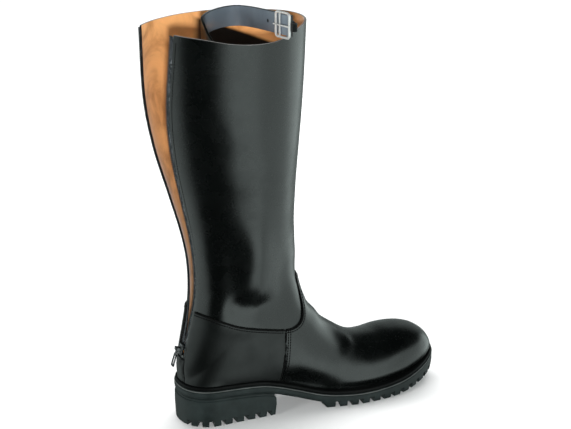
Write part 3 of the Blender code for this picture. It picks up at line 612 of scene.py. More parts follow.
def cutSheet(polygon, across, span):  # the upper's face inside a region
    kept = [r for r, o in enumerate(orders) if span[0] <= o <= span[1]]
    rowOrders = [orders[r] for r in kept]
    flat = offsetSkin(rowOrders, surface[kept], outward[kept], 0.0)
    signed = regionSign(flat.reshape(-1, 3), polygon, *across).reshape(flat.shape[:2])
    shape = bmesh.new()
    depth = shape.verts.layers.float.new("depth")
    grid = skinRows(shape, flat, rowOrders)
    for line, values in zip(grid, signed):
        for vert, value in zip(line, values):
            vert[depth] = value
    skinFaces(shape, grid, rowOrders)
    spare = [f for f in shape.faces if all(v[depth] > overlayForm["spare"] for v in f.verts)]
    bmesh.ops.delete(shape, geom=spare, context="FACES")
    cuts = []
    for edge in list(shape.edges):
        a, b = edge.verts
        da, db = a[depth], b[depth]
        if da * db < 0:
            _, vert = bmesh.utils.edge_split(edge, a, da / (da - db))
            vert[depth] = 0.0
            cuts.append(vert)
    bmesh.ops.connect_verts(shape, verts=cuts)
    outside = [f for f in shape.faces if max(f.verts, key=lambda v: abs(v[depth]))[depth] > 0]
    bmesh.ops.delete(shape, geom=outside, context="FACES")
    bmesh.ops.recalc_face_normals(shape, faces=shape.faces)
    shape.normal_update()
    middle = overlayForm["middle"]
    votes = sum(1 if f.normal.dot(f.calc_center_median() - middle) > 0 else -1 for f in shape.faces)
    if votes < 0:
        bmesh.ops.reverse_faces(shape, faces=shape.faces)
        shape.normal_update()
    return shape, depth


def raiseVert(vert, at, normal, height, onWelt):
    vert.co = at + normal * height
    if onWelt:
        vert.co.z = seamFoot(vert.co.x)


def buildOverlay(name, node, skin, polygon, across, span, thick):
    f = overlayForm
    shape, depth = cutSheet(polygon, across, span)
    rim = [e for e in shape.edges if e.is_boundary]
    onRim = {v for e in rim for v in e.verts}
    rest = {v: (v.co.copy(), v.normal.copy(), v in onRim and v[depth] < -f["weltBand"]) for v in shape.verts}
    for vert, (at, normal, onWelt) in rest.items():
        near = min(1.0, max(0.0, 1 + vert[depth] / f["rimWide"]))
        raiseVert(vert, at, normal, gap + thick * (1 - f["rimDrop"] * near ** 2), onWelt)
    found = {tuple(round(k, 4) for k in v.co): v for v in rest}
    for made in bmesh.ops.extrude_edge_only(shape, edges=rim)["geom"]:
        if isinstance(made, bmesh.types.BMVert):
            at, normal, onWelt = rest[found[tuple(round(k, 4) for k in made.co)]]
            raiseVert(made, at, normal, f["skirt"], onWelt)
        elif isinstance(made, bmesh.types.BMFace):
            made.material_index = 1
    shapeToFrame(shape)
    return addPiece(name, meshOf(name, shape), slots=(skin, blackEdge), stands=(node,), finish=node, sharp=48)


far, pastToe = 130, 450  # past the boot across and behind, and in front
vampEdge = {"order": 5.2, "low": 107, "foot": 30}
strip = {"half": 9, "front": 36, "top": 72.5}
vampPolygon = seamPath(vampEdge["order"], seamRows[-1][0])
vampPolygon += [(pastToe, seamRows[-1][2]), (pastToe, 0), (vampEdge["low"], 0)]
quarterPolygon = [(s - gap, z) for s, z in seamPath(0, vampEdge["order"])]
quarterPolygon += [(vampEdge["low"] - gap, 0), (-far, 0), (-far, seamRows[0][2])]
stripPolygon = [(-far, 0), (strip["front"], 0), (strip["front"], strip["top"]), (-far, strip["top"])]
stripIn, stripOut = strip["half"] - gap / 2, strip["half"] + gap / 2
quarter = {"skin": quarterLeather, "polygon": quarterPolygon, "span": (8, 19.5), "thick": 1.5}
overlays = {
    "vampPanel": {"node": "vamp", "skin": vampLeather, "polygon": vampPolygon, "across": (-far, far),
                  "span": (0, 13), "thick": 2.0},
    "quarterOuterPanel": {"node": "quarter_outer", "across": (-far, -stripOut), **quarter},
    "quarterInnerPanel": {"node": "quarter_inner", "across": (stripOut, far), **quarter},
    "backStripPanel": {"node": "back_strip", "skin": quarterLeather, "polygon": stripPolygon,
                       "across": (-stripIn, stripIn), "span": (12, 18), "thick": 2.0},
}
panelPieces = [buildOverlay(name, **facts) for name, facts in overlays.items()]
print("overlays", [len(p.data.polygons) for p in panelPieces])


# sole: rings of the outline, lugs cut by notches
# inset, share of the height, rise above that, material
heelRings = [(1.8, 0, 0, 0), (1.2, 0, 0.5, 0), (0.7, 0.25, 0, 0), (0.2, 0.55, 0, 0), (0.3, 1, -4.2, 0),
             (0.6, 1, -2.9, 0), (1.5, 1, -2.2, 0), (1.7, 1, -1.0, 0), (1.4, 1, -0.4, 0), (1.6, 1, 0, 0)]
outsoleRings = [(1.6, 0, 0, 0), (1.0, 0, 0.6, 0), (0.3, 0.25, 0, 0), (0.0, 0.45, 0, 0), (0.0, 1, -2.8, 0),
                (0.15, 1, -2.2, 0), (0.8, 1, -1.7, 0), (0.8, 1, -1.35, 1), (0.1, 1, -1.15, 1),
                (-0.15, 1, -0.75, 1), (0.0, 1, -0.2, 1), (0.7, 1, 0, 1)]
weltRings = [(1.8, 0, 0, 0), (1.3, 0, 0.5, 0), (1.0, 1, -2.2, 0), (1.1, 1, -1.0, 0), (1.6, 1, -0.3, 0),
             (2.4, 1, 0, 0)]
insoleClear, insoleRound = 1.3, 0.6  # from the wall, and at its top edge
insoleEdge = ledgeRows[-1][1] + soleSize["wall"] + insoleClear
insoleRings = [(insoleEdge, 0, 0, 0), (insoleEdge, 0, 2.4, 0), (insoleEdge + insoleRound, 1, 0, 0)]
lug = {"depth": 6.5, "notch": 5.5, "pitch": 13.5, "reach": 15, "past": 6, "margin": 21, "groove": 1.6,
       "heelGrooves": (21, 51), "treadGrooves": (174, 189, 204, 219, 234, 249, 264),
       "heelSpan": (2, soleSize["breast"] - 6),
       "treadSpan": (soleSize["treadStart"] + 5, soleSize["length"] - 1.5)}


def floorLevel(_):
    return 0.0


def heelTop(station):
    return treadBottom(station) - gap


def weltBottom(station):
    return feather(station) - soleSize["welt"]


def soleTop(station):
    return weltBottom(station) - gap


def boardBottom(station):
    return feather(station) + gap


def boardTop(station):
    return boardBottom(station) + soleSize["insole"]


def soleStack(name, rings, bottom, top, last, count, extra=()):
    shares = [(1 - math.cos(math.pi * k / count)) / 2 for k in range(count + 1)]
    shape = bmesh.new()
    sides = []
    for inset, share, rise, _ in rings:
        outer, inner = [], []
        for station in sorted([inset + (last - 2 * inset) * s for s in shares] + list(extra)):
            low, high = soleSides(station, inset)
            height = bottom(station) + share * (top(station) - bottom(station)) + rise
            outer.append(shape.verts.new(toFrame((station, low, height))))
            joined = high - low < 1e-3
            inner.append(outer[-1] if joined else shape.verts.new(toFrame((station, high, height))))
        sides.append((outer, inner))
    bands = [(low, high, ring[-1]) for low, high, ring in zip(sides, sides[1:], rings)]
    for k in range(len(sides[0][0]) - 1):
        for outer, inner in (sides[0], sides[-1]):
            face(shape, [outer[k], outer[k + 1], inner[k + 1], inner[k]])
        for low, high, material in bands:
            for side in (0, 1):
                face(shape, [low[side][k], low[side][k + 1], high[side][k + 1], high[side][k]], material)
    for low, high, material in bands:
        for end in (0, -1):
            face(shape, [low[0][end], low[1][end], high[1][end], high[0][end]], material)
    bmesh.ops.recalc_face_normals(shape, faces=shape.faces)
    return meshOf(name, shape)


def addBox(shape, centre, along, size):
    turned = Matrix.Rotation(math.atan2(along.y, along.x), 4, "Z")
    scale = Matrix.Diagonal((size[0] * mm, size[1] * mm, size[2] * mm, 1.0))
    bmesh.ops.create_cube(shape, size=1.0, matrix=Matrix.Translation(centre) @ turned @ scale)


def edgeNotches(shape, stations, side, bottom):
    ahead = 0.5
    for station in stations:
        edge, after = (Vector((s, soleSides(s, 0)[side])) for s in (station, station + ahead))
        tangent = (after - edge).normalized()
        inward = Vector((-tangent.y, tangent.x)) * (1 if side == 0 else -1)
        middle = edge + inward * (lug["reach"] - lug["past"]) / 2
        size = (lug["reach"] + lug["past"], lug["notch"], 2 * lug["depth"])
        addBox(shape, toFrame((middle.x, middle.y, bottom(station))), inward.to_3d(), size)


def outlineStations(first, last, side):  # a lug's pitch apart along the outline
    stations, walked, here, step = [], lug["pitch"] / 2, first, 0.25
    while here < last:
        run = soleSides(here + step, 0)[side] - soleSides(here, 0)[side]
        walked += math.hypot(step, run)
        if walked >= lug["pitch"]:
            stations.append(here)
            walked -= lug["pitch"]
        here += step
    return stations


def crossGrooves(shape, stations, bottom):
    for station in stations:
        low, high = soleSides(station, lug["margin"])
        base = toFrame((station, (low + high) / 2, bottom(station)))
        addBox(shape, base, Vector((0, 1, 0)), (high - low, lug["notch"], lug["groove"] * lug["depth"]))


def cutMesh(name, mesh, cutShape, slots):
    tool = bpy.data.objects.new(name + "Tool", meshOf(name + "Tool", cutShape))
    body = bpy.data.objects.new(name + "Body", mesh)
    for thing in (tool, body):
        bpy.context.scene.collection.objects.link(thing)
    for material in slots:
        mesh.materials.append(material)
    step = body.modifiers.new("cut", "BOOLEAN")
    step.operation = "DIFFERENCE"
    step.solver = "EXACT"
    step.object = tool
    done = bpy.data.meshes.new_from_object(body.evaluated_get(bpy.context.evaluated_depsgraph_get()))
    for thing in (tool, body):
        bpy.data.objects.remove(thing, do_unlink=True)
    return done


def buildTread(name, node, mesh, bottom, span, grooves, slots):
    notches = bmesh.new()
    for side in (0, 1):
        edgeNotches(notches, outlineStations(*span, side), side, bottom)
    crossGrooves(notches, grooves, bottom)
    addPiece(name, cutMesh(node, mesh, notches, slots), stands=(node,), finish=node, sharp=32)


def buildSole():
    s = soleSize
    heel = soleStack("heelBlock", heelRings, floorLevel, heelTop, s["breast"], count=90)
    buildTread("heelBlock", "heel", heel, floorLevel, lug["heelSpan"], lug["heelGrooves"], (soleRubber,))
    bends = (s["treadStart"] - s["treadStep"], s["treadStart"], s["flatEnd"])
    outsole = soleStack("outsoleBody", outsoleRings, treadBottom, soleTop, s["length"], count=170,
                        extra=bends)
    buildTread("outsoleBody", "outsole", outsole, treadBottom, lug["treadSpan"], lug["treadGrooves"],
               (soleRubber, outsoleLipHighlight))
    welt = soleStack("weltStrip", weltRings, weltBottom, feather, s["length"], count=150)
    addPiece("weltStrip", welt, slots=(weltLeather,), stands=("welt",), finish="welt", sharp=50)
    board = soleStack("insoleBoard", insoleRings, boardBottom, boardTop, s["length"], count=90)
    addPiece("insoleBoard", board, slots=(insoleSuede,), stands=("insole",), finish="insole", sharp=50)


buildSole()
print("sole done")


# zip: woven tapes, teeth, slider, pull tab
zipSize = {"width": 4.4, "cloth": 0.82, "thick": 1.0, "first": 17.2, "last": topOrder - 0.02, "rings": 150,
           "turn": 2.0, "clear": 1.1, "pitch": 2.1, "tooth": (2.3, 1.9, 1.15), "toothIn": 0.1,
           "toothTip": 0.62, "look": 0.05}
# share across, share of half the thickness
tapeProfile = [(0, -1), (0.55, -1.1), (0.8, -0.7), (1, -1), (1, 1), (0.8, 0.7), (0.55, 1.1), (0, 1)]
nearby = 0.05  # step for directions along a table


def slitEdge(order, side):
    shares = np.array([0.0, zipSize["look"]])
    edge, inner = (Vector(p) for p in sectionLine(order, side, shares))
    turned = min(1.0, (order - zipSize["first"]) / zipSize["turn"])
    across = Vector((0, -side, 0)).lerp((edge - inner).normalized(), turned).normalized()
    high = Vector(sectionLine(min(order + nearby, topOrder), side, shares[:1])[0])
    low = Vector(sectionLine(order - nearby, side, shares[:1])[0])
    climb = (high - low).normalized()
    out = (climb.cross(across) * -side).normalized()
    start = edge + across * (gap + zipSize["clear"] * (1 - turned)) - out * (soleSize["wall"] / 2)
    return start, across, out, climb


def addTooth(shape, at, across, out, climb):
    place = toFrame(at)
    scale = Matrix.Diagonal((*(v * mm for v in zipSize["tooth"]), 1))
    made = bmesh.ops.create_cube(shape, size=1.0, matrix=axesMatrix(place, across, out, climb) @ scale)
    tip = sorted(made["verts"], key=lambda v: (v.co - place).dot(across))[-4:]
    middle = sum((v.co for v in tip), Vector()) / 4
    for vert in tip:
        vert.co = middle + (vert.co - middle) * zipSize["toothTip"]


def buildTape(name, node, side):
    z = zipSize
    wide, half = z["width"] * z["cloth"], z["thick"] / 2
    shape = bmesh.new()
    rings, frames = [], []
    for k in range(z["rings"] + 1):
        start, across, out, climb = slitEdge(z["first"] + (z["last"] - z["first"]) * k / z["rings"], side)
        ring = [start + across * (wide * a) + out * (half * n) for a, n in tapeProfile]
        rings.append([shape.verts.new(toFrame(p)) for p in ring])
        frames.append((start + across * wide, across, out, climb))
    tube(shape, rings)
    fromBmesh(name, shape, slots=(tapeWeave,), stands=(node,), finish=node, sharp=60)
    teeth = bmesh.new()
    walked = 0.0
    for (a, *_), (b, across, out, climb) in zip(frames, frames[1:]):
        length = (b - a).length
        while walked < length:
            addTooth(teeth, a.lerp(b, walked / length) + across * z["toothIn"], across, out, climb)
            walked += z["pitch"]
        walked -= length
    fromBmesh(name + "Teeth", teeth, slots=(toothMetal,), finish=node, sharp=30)


buildTape("zipTapeOuter", "zip_tape_outer", -1)
buildTape("zipTapeInner", "zip_tape_inner", 1)


def roundBox(shape, size, centre, bevel):
    made = bmesh.ops.create_cube(shape, size=1.0)
    for vert in made["verts"]:
        vert.co = vert.co * Vector(size) + Vector(centre)
    edges = {e for v in made["verts"] for e in v.link_edges}
    bmesh.ops.bevel(shape, geom=list(edges), offset=bevel, segments=3, affect="EDGES", profile=0.6)


def roundBar(shape, radius, length, centre, tilt=0.0, sides=20):  # upright, or tilted about X
    matrix = Matrix.Translation(Vector(centre)) @ Matrix.Rotation(tilt, 4, "X")
    made = bmesh.ops.create_cone(shape, cap_ends=True, segments=sides, radius1=radius, radius2=radius,
                                 depth=length, matrix=matrix)
    edges = {e for v in made["verts"] for e in v.link_edges}
    caps = [e for e in edges if sum(len(f.verts) > 4 for f in e.link_faces) == 1]
    bmesh.ops.bevel(shape, geom=caps, offset=radius * 0.25, segments=2, affect="EDGES", profile=0.5)


def ringBand(shape, inner, outer, length, bevel=0.3, sides=28):  # a tube along Y
    half = length / 2
    profile = [(inner, -half), (outer - bevel, -half), (outer, bevel - half), (outer, half - bevel),
               (outer - bevel, half), (inner, half)]
    rings = []
    for a in turns(sides):
        rings.append([shape.verts.new((r * math.cos(a), y, r * math.sin(a))) for r, y in profile])
    tube(shape, rings + rings[:1])


def placeShape(shape, matrix):
    bmesh.ops.scale(shape, vec=(mm, mm, mm), verts=shape.verts)
    bmesh.ops.transform(shape, matrix=matrix, verts=shape.verts)


slider = {"order": 17.2, "around": (-0.1, 0, 0.1), "lift": 0.5, "tall": 12, "wide": 9, "deep": 2.6,
          "round": 0.9, "bar": 0.9, "barOut": 3.0, "earGap": 4.6, "ear": 1.3, "earTall": 3.6, "earRim": 0.8,
          "earRound": 0.5, "sunk": 0.6, "plate": 0.9, "plateIn": (3, 5), "plateOut": 0.1, "plateRound": 0.35,
          "rail": (0.7, 1.1), "railIn": 0.9, "railDrop": 2.5, "railRound": 0.3}
tab = {"long": 20, "wide": 6.4, "neck": 3.6, "neckDrop": 3.2, "rim": 1.6, "end": 2.5, "thick": 1.5,
       "eye": 2.4, "hole": 1.4, "lean": 18, "sunk": 0.4, "bevel": 0.5, "neckRound": 0.4}


def buildSlider():  # gives the place of its bar
    s = slider
    low, here, high = (Vector(tableAt(sectionsOnWelt, s["order"] + d)[:2]) for d in s["around"])
    climb = (high - low).normalized()
    up, across = Vector((climb.x, 0, climb.y)), Vector((0, -1, 0))
    matrix = axesMatrix(toFrame((here.x, 0, here.y)), across.cross(up), across, up)
    back = s["lift"] + s["deep"]
    shape = bmesh.new()
    roundBox(shape, (s["deep"], s["wide"], s["tall"]), (s["lift"] + s["deep"] / 2, 0, 0), s["round"])
    plate = (s["plate"], s["wide"] - s["plateIn"][0], s["tall"] - s["plateIn"][1])
    roundBox(shape, plate, (back + s["plateOut"], 0, 0), s["plateRound"])
    reach = s["barOut"] + s["bar"] + s["earRim"]
    for side in (-1, 1):
        ear = (back + (reach - s["sunk"]) / 2, side * (s["earGap"] + s["ear"]) / 2, 0)
        roundBox(shape, (reach + s["sunk"], s["ear"], s["earTall"]), ear, s["earRound"])
        rail = (*s["rail"], s["tall"] - s["railDrop"])
        roundBox(shape, rail, (back, side * (s["wide"] / 2 - s["railIn"]), 0), s["railRound"])
    bar = Vector((back + s["barOut"], 0, 0))
    roundBar(shape, s["bar"], s["earGap"] + s["ear"], bar, math.pi / 2)
    placeShape(shape, matrix)
    fromBmesh("zipSlider", shape, slots=(sliderMetal,), stands=("zip_slider",), finish="zip_slider")
    return matrix @ (bar * mm)


def buildTab(hinge):
    t = tab
    shape = bmesh.new()
    ringBand(shape, t["hole"], t["eye"], t["neck"])
    neckLow = t["eye"] + t["neckDrop"]
    blade = t["long"] - neckLow
    stem = t["neckDrop"] + 2 * t["sunk"]
    roundBox(shape, (t["thick"], t["neck"], stem), (0, 0, t["sunk"] - t["eye"] - stem / 2), t["neckRound"])
    for side in (-1, 1):
        rim = (0, side * (t["wide"] - t["rim"]) / 2, -neckLow - blade / 2)
        roundBox(shape, (t["thick"], t["rim"], blade), rim, t["bevel"])
    for height in (-neckLow - t["end"] / 2, t["end"] / 2 - t["long"]):
        roundBox(shape, (t["thick"], t["wide"], t["end"]), (0, 0, height), t["bevel"])
    placeShape(shape, Matrix.Translation(hinge) @ Matrix.Rotation(math.radians(t["lean"]), 4, "Y"))
    fromBmesh("pullTab", shape, body="tab", slots=(tabMetal,), stands=("pull_tab",), finish="pull_tab")


buildTab(buildSlider())
print("zip done")

# calf strap, chape and buckle
strapSize = {"wide": 22, "thick": 2.6, "chapeWide": 9, "bevel": 0.8, "perStep": 14, "edgeSteps": 3,
             "holes": (13.15,), "holeRound": 1.9, "holeDeep": 0.1}
ribbonKinds = (0, 1, 1, 1, 0, 0, 0, 0)  # materials round the profile: face, dark edge, face
buckle = {"order": 14.44, "ahead": 0.3, "long": 22, "tall": 28, "wire": 2.6, "corner": 3.2, "bar": 0.95,
          "barIn": 5.5, "prong": 1.0, "bow": 0.2, "taper": 0.3, "press": 0.2,
          "barShort": 3, "cornerSteps": 8, "wireSides": 14, "prongSides": 12, "prongRings": 17}
upward = Vector((0, 0, 1))


def roundedPath(halfA, halfB, corner, start, steps):  # points and outward directions round a rectangle
    path = []
    for turn in range(4):
        middle = math.radians(start + 90 * turn + 45)
        centreA = math.copysign(halfA - corner, math.cos(middle))
        centreB = math.copysign(halfB - corner, math.sin(middle))
        for k in range(steps + 1):
            a = math.radians(start + 90 * turn + 90 * k / steps)
            out = (math.cos(a), math.sin(a))
            path.append(((centreA + corner * out[0], centreB + corner * out[1]), out))
    return path


def strapFrame(rows, order):
    station, across, low = tableAt(rows, order)
    ahead, behind = tableAt(rows, order + nearby), tableAt(rows, order - nearby)
    along = Vector((ahead[0] - behind[0], ahead[1] - behind[1], 0)).normalized()
    return Vector((station, across, low)), along, Vector((-along.y, along.x, 0))


def buildRibbon(name, node, rows, wide, skin):
    s = strapSize
    profile = [at for at, _ in roundedPath(s["thick"] / 2, wide / 2, s["bevel"], -90, s["edgeSteps"])]
    shape = bmesh.new()
    rings = []
    for k in range(rows[-1][0] * s["perStep"] + 1):
        at, along, side = strapFrame(rows, k / s["perStep"])
        rings.append([shape.verts.new(toFrame(at + side * n + upward * (wide / 2 + h))) for n, h in profile])
    tube(shape, rings, ribbonKinds, 1)
    fromBmesh(name, shape, slots=(skin, blackEdge), stands=(node,), finish=node, sharp=60)


# the holes are thin dark discs on the strap's face, painted shade in place of open holes
def buildHoles():
    s = strapSize
    shape = bmesh.new()
    for order in s["holes"]:
        at, along, side = strapFrame(strapRows, order)
        centre = toFrame(at - side * (s["thick"] / 2) + upward * (s["wide"] / 2))
        bmesh.ops.create_cone(shape, cap_ends=True, segments=20, radius1=s["holeRound"] * mm,
                              radius2=s["holeRound"] * mm, depth=s["holeDeep"] * mm,
                              matrix=axesMatrix(centre, along, upward, side))
    fromBmesh("strapHoles", shape, slots=(holePaintedShade,), finish="calf_strap")


def buildBuckle():
    b = buckle
    station, across, low = tableAt(strapRows, b["order"])
    ahead = tableAt(strapRows, b["order"] + b["ahead"])
    along = Vector((ahead[0] - station, ahead[1] - across, 0)).normalized()
    out = along.cross(upward)
    radius = b["wire"] / 2
    lift = strapSize["thick"] / 2 + gap + radius
    middle = toFrame((station, across, low + strapSize["wide"] / 2)) + out * (lift * mm)
    matrix = axesMatrix(middle, out, along, upward)
    halfY, halfZ = b["long"] / 2 - radius, b["tall"] / 2 - radius
    shape = bmesh.new()
    rings = []
    for at, normal in roundedPath(halfY, halfZ, b["corner"], 0, b["cornerSteps"]):
        ring = [(radius * math.sin(a), radius * math.cos(a)) for a in turns(b["wireSides"])]
        rings.append([shape.verts.new((x, at[0] + normal[0] * n, at[1] + normal[1] * n)) for x, n in ring])
    tube(shape, rings + rings[:1])
    roundBar(shape, b["bar"], b["tall"] - b["barShort"], (0, b["barIn"] - halfY, 0))
    placeShape(shape, matrix)
    fromBmesh("buckleFrame", shape, slots=(nickel,), stands=("buckle_frame",), finish="buckle_frame")
    shape = bmesh.new()
    rings = []
    for t in np.linspace(0, 1, b["prongRings"]):
        size = b["prong"] * (1 - b["taper"] * t)
        x = radius + gap + b["prong"] - b["press"] + b["bow"] * math.sin(math.pi * t)
        y = b["long"] * (0.5 - t)
        ring = [(x + size * math.cos(a), y, size * math.sin(a)) for a in turns(b["prongSides"])]
        rings.append([shape.verts.new(p) for p in ring])
    tube(shape, rings)
    placeShape(shape, matrix)
    fromBmesh("bucklePin", shape, slots=(nickel,), stands=("buckle_prong",), finish="buckle_prong")


buildRibbon("calfStrap", "calf_strap", strapRows, strapSize["wide"], strapLeatherPaintedSheen)
buildRibbon("strapChape", "strap_chape", chapeRows, strapSize["chapeWide"], strapShade)
buildHoles()
buildBuckle()
print("strap done")


# stitches: small thread capsules laid on the panels, and along their edges a dark cord, painted shade for the
# shadow line where each panel's edge steps down
stitchSize = {"pitch": 3.0, "length": 2.9, "radius": 0.62, "flat": 0.8, "lift": 0.08, "sides": 6, "rings": 5}
# painted shade: a matte black cord along each panel's edge stands for the shadow line where the edge steps
# down
seamShadeCord = {"radius": 1.0, "high": 0.65, "sides": 8}
lineJump = 12  # a longer step breaks a line
sideRay = {"from": 150, "clear": 4, "facing": 0.12}  # clear of the middle, and not too steep


def treeOf(pieces):
    verts, faces = [], []
    for piece in pieces:
        base = len(verts)
        verts += [v.co.copy() for v in piece.data.vertices]
        faces += [[base + i for i in p.vertices] for p in piece.data.polygons]
    return BVHTree.FromPolygons(verts, faces)


def sidePoints(path, side, tree):  # points and normals where a side view's path meets the panels
    found = []
    for station, height in path:
        origin = toFrame((station, side * sideRay["from"], height))
        at, normal, _, _ = tree.ray_cast(origin, Vector((0, -side, 0)))
        if at is None or at.y * side <= sideRay["clear"] * mm:
            continue
        if abs(normal.y) > sideRay["facing"]:
            found.append((at, normal if normal.y * side > 0 else -normal))
    return found


def sewLine(shape, found):
    s = stitchSize
    scale = Matrix.Diagonal((s["length"] / 2 * mm, s["radius"] * mm, s["radius"] * s["flat"] * mm, 1))
    scale = scale @ Matrix.Rotation(math.pi / 2, 4, "Y")
    walked = 0.0
    for (a, na), (b, nb) in zip(found, found[1:]):
        run = (b - a).length / mm
        if run > lineJump or run < 1e-6:
            continue
        along = (b - a).normalized()
        while walked < run:
            normal = na.lerp(nb, walked / run).normalized()
            place = a.lerp(b, walked / run) + normal * s["lift"] * mm
            matrix = axesMatrix(place, along, normal.cross(along).normalized(), normal)
            bmesh.ops.create_uvsphere(shape, u_segments=s["sides"], v_segments=s["rings"], radius=1.0,
                                      matrix=matrix @ scale)
            walked += s["pitch"]
        walked -= run


def unbroken(found):  # parts of a line without jumps
    runs = [[]]
    for at, normal in found:
        if runs[-1] and (at - runs[-1][-1][0]).length > lineJump * mm:
            runs.append([])
        runs[-1].append((at, normal))
    return [run for run in runs if len(run) > 1]


def shadeCordLine(shape, found):
    for line in unbroken(found):
        rings = []
        for k, (at, normal) in enumerate(line):
            run = line[min(k + 1, len(line) - 1)][0] - line[max(k - 1, 0)][0]
            across = normal.cross(run.normalized()).normalized() * seamShadeCord["radius"] * mm
            out = normal * seamShadeCord["high"] * mm
            ring = [at + across * math.cos(a) + out * math.sin(a) for a in turns(seamShadeCord["sides"])]
            rings.append([shape.verts.new(p) for p in ring])
        tube(shape, rings)


def shiftPath(path, amount):  # to the right of the path's direction
    moved = []
    for k, (s, z) in enumerate(path):
        a, b = path[max(k - 1, 0)], path[min(k + 1, len(path) - 1)]
        run = Vector((b[0] - a[0], b[1] - a[1])).normalized()
        moved.append((s + run.y * amount, z - run.x * amount))
    return moved


edgeTop = tuple(tableAt(seamRows, vampEdge["order"]))
# places along the seam where the shade cord lines and stitches start and end, and how far they lie inside the
# panels' edges
seamRow = {"shadeCordFirst": 0.4, "first": 0.75, "past": 0.15, "last": 10.6, "shadeCordIn": 0.5, "lowIn": 3.2,
           "highIn": 3.0, "edgeIns": (3.0, 5.6), "edgeDrop": 3, "edgeClear": 1.5}


def edgeLine(inset, drop=0, count=40):  # down the vamp's back edge
    run, fall = vampEdge["low"] - edgeTop[0], vampEdge["foot"] - edgeTop[1]
    start, top = edgeTop[0] + inset, edgeTop[1] - drop
    return [(start + run * t, top + fall * t) for t in np.linspace(0, 1, count)]


def buildSeams():
    r, turn = seamRow, vampEdge["order"]
    panels = treeOf(panelPieces[:3])
    shape = bmesh.new()
    lowRow = shiftPath(seamPath(r["first"], turn), r["lowIn"])
    rows = [[p for p in lowRow if p[0] < edgeTop[0] - r["edgeClear"]],
            shiftPath(seamPath(turn + r["past"], r["last"]), r["highIn"]),
            *(edgeLine(inset, r["edgeDrop"]) for inset in r["edgeIns"])]
    shadeCords = [shiftPath(seamPath(r["shadeCordFirst"], turn), r["shadeCordIn"]),
             shiftPath(seamPath(turn, r["last"]), r["shadeCordIn"]), edgeLine(r["shadeCordIn"])]
    for side in (-1, 1):
        for path in shadeCords:
            shadeCordLine(shape, sidePoints(path, side, panels))
        for path in rows:
            sewLine(shape, sidePoints(path, side, panels))
    fromBmesh("seamStitchesAndShadeCords", shape, slots=(threadAndSeamShade,), finish="vamp", sharp=180)


flapRow = {"first": 18.3, "last": 24.9, "count": 220, "inset": 3.0, "look": 0.06}


def buildFlapStitches():
    f = flapRow
    shape = bmesh.new()
    for side in (-1, 1):
        row = []
        for order in np.linspace(f["first"], f["last"], f["count"]):
            edge, inner = (Vector(p) for p in sectionLine(order, side, np.array([0.0, f["look"]])))
            ahead = Vector(sectionLine(min(order + nearby, topOrder), side, np.array([0.0]))[0])
            normal = (ahead - edge).cross(inner - edge).normalized()
            at = toFrame(edge + (inner - edge).normalized() * f["inset"])
            row.append((at, normal if normal.x < 0 else -normal))
        sewLine(shape, row)
    fromBmesh("flapStitches", shape, slots=(threadAndSeamShade,), finish="upper", sharp=180)


buildSeams()
buildFlapStitches()
print("stitches done")


# stage and light
def addArea(name, place, target, size, power):
    light = bpy.data.lights.new(name, "AREA")
    light.shape = "RECTANGLE"
    light.size, light.size_y = size
    light.energy = power
    lamp = bpy.data.objects.new(name, light)
    bpy.context.scene.collection.objects.link(lamp)
    lamp.location = place
    lamp.rotation_euler = (Vector(target) - Vector(place)).to_track_quat("-Z", "Y").to_euler()
    lamp.visible_glossy = False


floorPlan = {"half": 9, "drop": 0.0006, "tone": (0.9, 0.9, 0.9, 1), "rough": 0.85}


def buildStage():
    shape = bmesh.new()
    bmesh.ops.create_grid(shape, x_segments=1, y_segments=1, size=floorPlan["half"])
    floor = bpy.data.objects.new("floor", meshOf("floor", shape))
    bpy.context.scene.collection.objects.link(floor)
    floor.location.z = -floorPlan["drop"]
    floor.visible_glossy = False
    material, tree, shader = newMaterial("paleFloor")
    setInputs(tree, shader, Base_Color=floorPlan["tone"], Roughness=floorPlan["rough"])
    floor.data.materials.append(material)


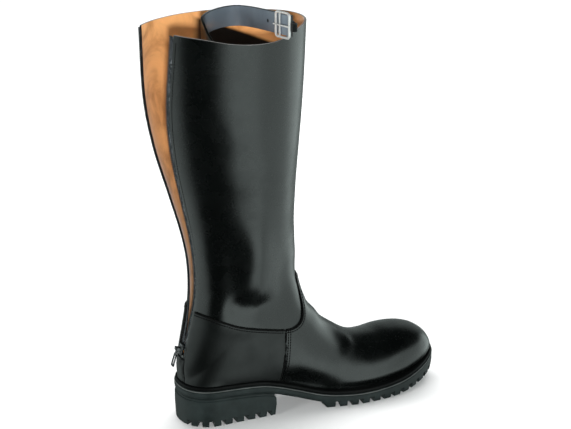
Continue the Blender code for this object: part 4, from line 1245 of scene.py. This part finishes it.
# each light box on the sky is bounded by ramps: a direction, and where it starts and is full
sky = {"base": 0.008, "colour": (0.87, 1.0, 0.97, 1), "ceiling": ((0, 0, -1), -0.62, -0.3), "boxes": [
    {"power": 1.6, "limits": [((0.909, -0.416, 0.2), 0.15, 0.42), ((-0.909, 0.416, 0), -0.95, -0.75),
                              ((-0.416, -0.909, 0), -0.3, 0.1), ((0, 0, 1), -0.7, -0.54)]},
    {"power": 1.05, "limits": [((0.909, -0.416, 0), 0.7, 0.88)]},
    {"power": 1.6, "limits": [((0.995, 0.094, 0), 0.8, 0.95)]},
    {"power": 0.95, "limits": [((-0.909, 0.416, 0), 0.52, 0.82)]},
    {"power": 0.3, "limits": [((0.416, 0.909, 0), 0.5, 0.85)]},
]}


def buildWorld():
    scene = bpy.context.scene
    scene.world = scene.world or bpy.data.worlds.new("world")
    scene.world.use_nodes = True
    tree = scene.world.node_tree
    coord = addNode(tree, "TexCoord").outputs["Generated"]
    total = sky["base"]
    for box in sky["boxes"]:
        light = box["power"]
        for limit in [*box["limits"], sky["ceiling"]]:
            light = join(tree, "MULTIPLY", light, ramp(tree, coord, *limit))
        total = join(tree, "MAXIMUM", total, light)
    setInputs(tree, tree.nodes["Background"], Strength=total, Color=sky["colour"])
    scene.view_settings.view_transform = "Standard"


view = {"azimuth": 24.6, "elevation": 19.3, "distance": 1.893, "lens": 111.2, "sensor": 36,
        "target": Vector((0.0925, 0.0, 0.2166))}


def buildCamera():
    lens = bpy.data.cameras.new("camera")
    lens.lens = view["lens"]
    lens.sensor_width = view["sensor"]
    camera = bpy.data.objects.new("camera", lens)
    bpy.context.scene.collection.objects.link(camera)
    turn, rise = math.radians(view["azimuth"]), math.radians(view["elevation"])
    forward = Vector((math.cos(rise) * math.sin(turn), math.cos(rise) * math.cos(turn), -math.sin(rise)))
    camera.location = view["target"] - forward * view["distance"]
    camera.rotation_euler = forward.to_track_quat("-Z", "Y").to_euler()
    bpy.context.scene.camera = camera


buildStage()
buildWorld()
addArea("backSoft", place=(0.6, 1.1, 1.7), target=(0.35, 0.7, 0.0), size=(2.6, 1.8), power=70)
addArea("leftSoft", place=(-1.3, -0.5, 0.45), target=(-0.01, 0.01, 0.26), size=(0.3, 0.3), power=8)
addArea("frontSoft", place=(-0.6, -1.6, 0.62), target=(0.03, 0.0, 0.33), size=(0.12, 0.12), power=28)
buildCamera()
print("stage done")
